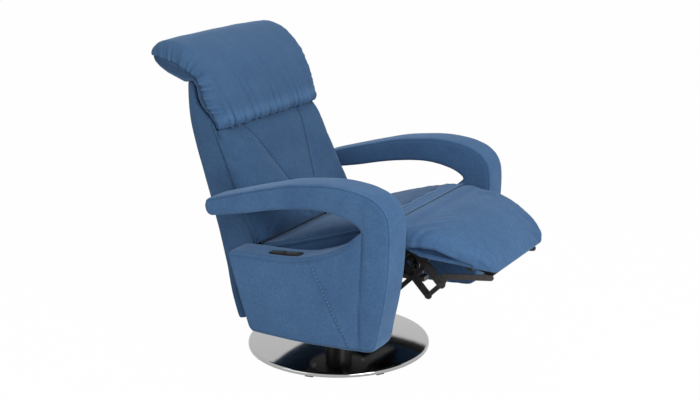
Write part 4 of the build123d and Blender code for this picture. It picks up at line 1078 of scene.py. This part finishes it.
# %% Back pads
PAD_STEPS = np.array((-6, 10, 50, 110, 170, 230, 290, 330, 356), float)
PAD_RISE = (34, 38, 41, 41, 39, 36, 32, 27, 20)
PAD_CROWN = (10, 16, 20, 19, 16, 13, 10, 8, 4)
PAD_HALF = (256, 259, 262, 263, 263, 262, 260, 258, 256)
PAD_CLEAR = 139
PAD_SINK = 12
SEAM_TOP = (150, 352)
SEAM_LOW = (22, 30)

pad_slab = Slab(
    spine(PAD_STEPS, np.array(PAD_RISE)), spine(PAD_STEPS, np.full_like(PAD_STEPS, -PAD_SINK)),
    PAD_HALF, 14, 72, (90, 5, 8, 30), (14, 6), (10, 6), crown=PAD_CROWN, bow=3,
)
pad_slab.points = push_out(pad_slab.points, SHAFT, PAD_CLEAR)
pads = slab_piece("back_pads", pad_slab.points)
pad_top, pad_along, pad_cap, pad_below = pad_slab.marks()
pad_along = pad_along + PAD_STEPS[0]


def vee_distance(x, along):
    """Distance from the nearer of the two slanting seams, in the plane of the back."""
    return line_distance(np.abs(x), along, SEAM_LOW, SEAM_TOP)


near_seam = vee_distance(places(pads)[:, 0], pad_along)
held = pad_cap | pad_below | ((near_seam < 5) & (pad_top > 0.5))
swell(pads, -4.0 * groove(near_seam, 9) * pad_top)
stuff(pads, held, 3.2, 10)
x = places(pads)[:, 0]
near_seam = vee_distance(x, pad_along)
pucker = ripple(pad_along, 24, 0.9) * np.exp(-near_seam / 16)
slack = ripple(x + 0.6 * pad_along, 140, 0.2) * ripple(pad_along, 150, 1.3)
swell(pads, (0.8 * pucker + 1.2 * slack - 3.2 * groove(near_seam, 3.2)) * pad_top * ~pad_cap)
put(pads, push_out(places(pads), SHAFT, PAD_CLEAR))
# Painted shade in the two slanting seam grooves.
paint_shade_and_highlight(pads, 0.75 * groove(near_seam, 3.0) * pad_top)
soften(pads)
dress(pads, "back", "back_field_left", "back_field_middle", "back_field_right", fill=0.7, cloth=CLOTH_SHADED)
vee_rows = []
for side in (-1, 1):
    run = np.linspace(0.0, 0.99, 50)
    row_x = side * (SEAM_LOW[0] + run * (SEAM_TOP[0] - SEAM_LOW[0]) + 5)
    along = SEAM_LOW[1] + run * (SEAM_TOP[1] - SEAM_LOW[1])
    row = np.concatenate([row_x[:, None], spine(along, np.full(50, 60.0))], axis=1)
    vee_rows.append(on_cloth(pads, row))
stitching("back_thread", "back", vee_rows, radius=0.5)
print("pad points", len(x))

# %% [markdown]
# A welt is a strip folded round a soft core and sewn into a seam. Here it is a thin tube along the
# edge of the cheek: a circle carried along the line where cheek and pad meet.


# %% Welts
def tube(path, radius, around=10):
    """Rings of a round tube along a path, each in the plane across the path's heading."""
    aside = np.broadcast_to(np.array((1.0, 0, 0)), path.shape)
    upward = unit(np.cross(unit(np.gradient(path, axis=0)), aside))
    turn = np.linspace(0, 2 * np.pi, around, endpoint=False)
    ring = np.cos(turn)[None, :, None] * aside[:, None] + np.sin(turn)[None, :, None] * upward[:, None]
    return path[:, None] + radius * ring


def tube_piece(name, paths, radius):
    """One mesh of several tubes, each closed by a face at both ends."""
    points, faces, used = [], [], 0
    for path in paths:
        rings = tube(path, radius)
        count, around = rings.shape[:2]
        index = np.arange(count * around).reshape(count, around) + used
        faces += ring_quads(index) + [index[0].tolist(), index[-1].tolist()]
        points.append(rings.reshape(-1, 3))
        used += count * around
    return make_mesh(name, np.concatenate(points), faces)


WELT_ACROSS = 263.5
WELT_RADIUS = 2.6
welt_steps = np.linspace(4, 380, 90)
welt_line = spine(welt_steps, np.full(90, 1.0))
welt_paths = [np.concatenate([np.full((90, 1), side * WELT_ACROSS), welt_line], axis=1) for side in (-1, 1)]
welt = tube_piece("back_welt", welt_paths, WELT_RADIUS)
paint_shade_and_highlight(welt, np.zeros(len(welt.data.vertices)))
dress(welt, "back", cloth=CLOTH_SHADED)
print("welt length", round(float(welt_steps[-1] - welt_steps[0])), "mm each side")

# %% [markdown]
# ## Head cushion
# The head cushion is one skin that folds back over the top of the chair. It crosses the head hinge and
# is one piece, attached to neither body. Its hem is gathered into many small folds, and so are its side
# seams. Painted highlight makes the ridges of the folds pale and painted shade darkens their notches.

# %% Head cushion
HEAD_PAIRS = np.array((
    (243, 712, 262, 710),
    (236, 724, 269, 722),
    (240, 748, 286, 744),
    (249, 778, 315, 774),
    (261, 810, 328, 804),
    (276, 844, 333, 832),
    (295, 875, 341, 844),
    (322, 908, 356, 843),
    (357, 938, 376, 842),
    (404, 956, 404, 851),
    (446, 958, 438, 863),
    (474, 947, 466, 881),
    (487, 927, 482, 904),
), float)
HEAD_HALF = 280
HEAD_CORNER = (8, 14, 20, 24, 26, 28, 28, 28, 28, 28, 28, 24, 12)
HEAD_WIDE = (266, 267, 270, 274, 277, 279, 280, 280, 280, 279, 278, 277, 276)
HEAD_RUNS = (200, 9, 12, 50)
SEAM_DOWN = 6
right_side, left_side = side_columns(*HEAD_RUNS)
HEAD_EDGES = (right_side[0] + SEAM_DOWN, left_side[0] - SEAM_DOWN)

head_slab = Slab(
    HEAD_PAIRS[:, :2], HEAD_PAIRS[:, 2:], HEAD_WIDE, HEAD_CORNER, 130, HEAD_RUNS, (8, 10), (6, 14),
    crown=(4, 7, 9, 9, 9, 8, 8, 8, 8, 7, 6, 4, 2), bow=2,
)
head = slab_piece("head_cover", head_slab.points)
head_top, head_along, head_cap, head_below = head_slab.marks()
stuff(head, head_cap | head_below | (head_along < 6), 3.2, 9)
x = places(head)[:, 0]
bunch = np.clip(0.55 + 0.9 * ripple(x, 150, 2.2), 0.15, 1)
hem = np.exp(-head_along / 30) * ripple(x + 0.12 * head_along, 17, 0.6) * bunch
long_hem = np.exp(-head_along / 75) * ripple(x + 0.25 * head_along, 43, 2.6)
puff = groove(head_along - 20, 19)
slack = ripple(x - 0.4 * head_along, 170, 1.2) * ripple(head_along, 130, 0.1)
from_seam = column_distance(head_slab, HEAD_EDGES)
beside = np.abs(head_slab.out_a) * (np.arange(head_slab.points.shape[1]) >= HEAD_RUNS[0])
gusset = head_slab.flat(np.clip((0.1 - head_slab.place_b) / 0.5, 0, 1) * beside)
away_ends = np.clip((head_slab.total - head_along) / 60, 0, 1) * np.clip((head_along - 22) / 34, 0, 1)
edge = np.exp(-from_seam / 26) * ripple(head_along, 25, 1.1 + np.sign(x)) * (1 - gusset) * away_ends
side_seam = groove(from_seam, 3.2)
inner = np.clip((HEAD_HALF - 14 - np.abs(x)) / 26, 0, 1)
gathered = (3.6 * hem + 3.8 * long_hem + 8.0 * puff) * inner
swell(head, ((gathered + 1.4 * slack) * np.maximum(head_top, 0.15)) * ~head_cap)
swell(head, (5.0 * edge - 2.5 * side_seam - 6.0 * gusset) * ~head_cap)
# Painted shade at the hem's edge, in the side seams, on the side gussets and in the notches of the folds.
# Painted highlight on the ridges of the folds, and over the whole cushion, strongest in a band above the hem.
dark = np.maximum(0.95 * np.exp(-head_along / 5), np.maximum(0.7 * side_seam, 0.35 * gusset))
notch_shade = np.clip(-1.5 * hem - 0.5 * long_hem, 0, 0.65) * inner
ridge_highlight = 0.25 + 0.6 * groove(head_along - 30, 26) * inner
pleat_shade_and_highlight = 0.6 * np.clip(-edge, 0, 1) - 0.45 * np.clip(edge, 0, 1)
paint_shade_and_highlight(head, np.where(dark < 0.3, notch_shade + pleat_shade_and_highlight - ridge_highlight * (1 - notch_shade), dark))
dress(head, None, "head_lower", "head_upper", fill=0.8, cloth=CLOTH_SHADED)
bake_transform(head)
print("head points", len(x))
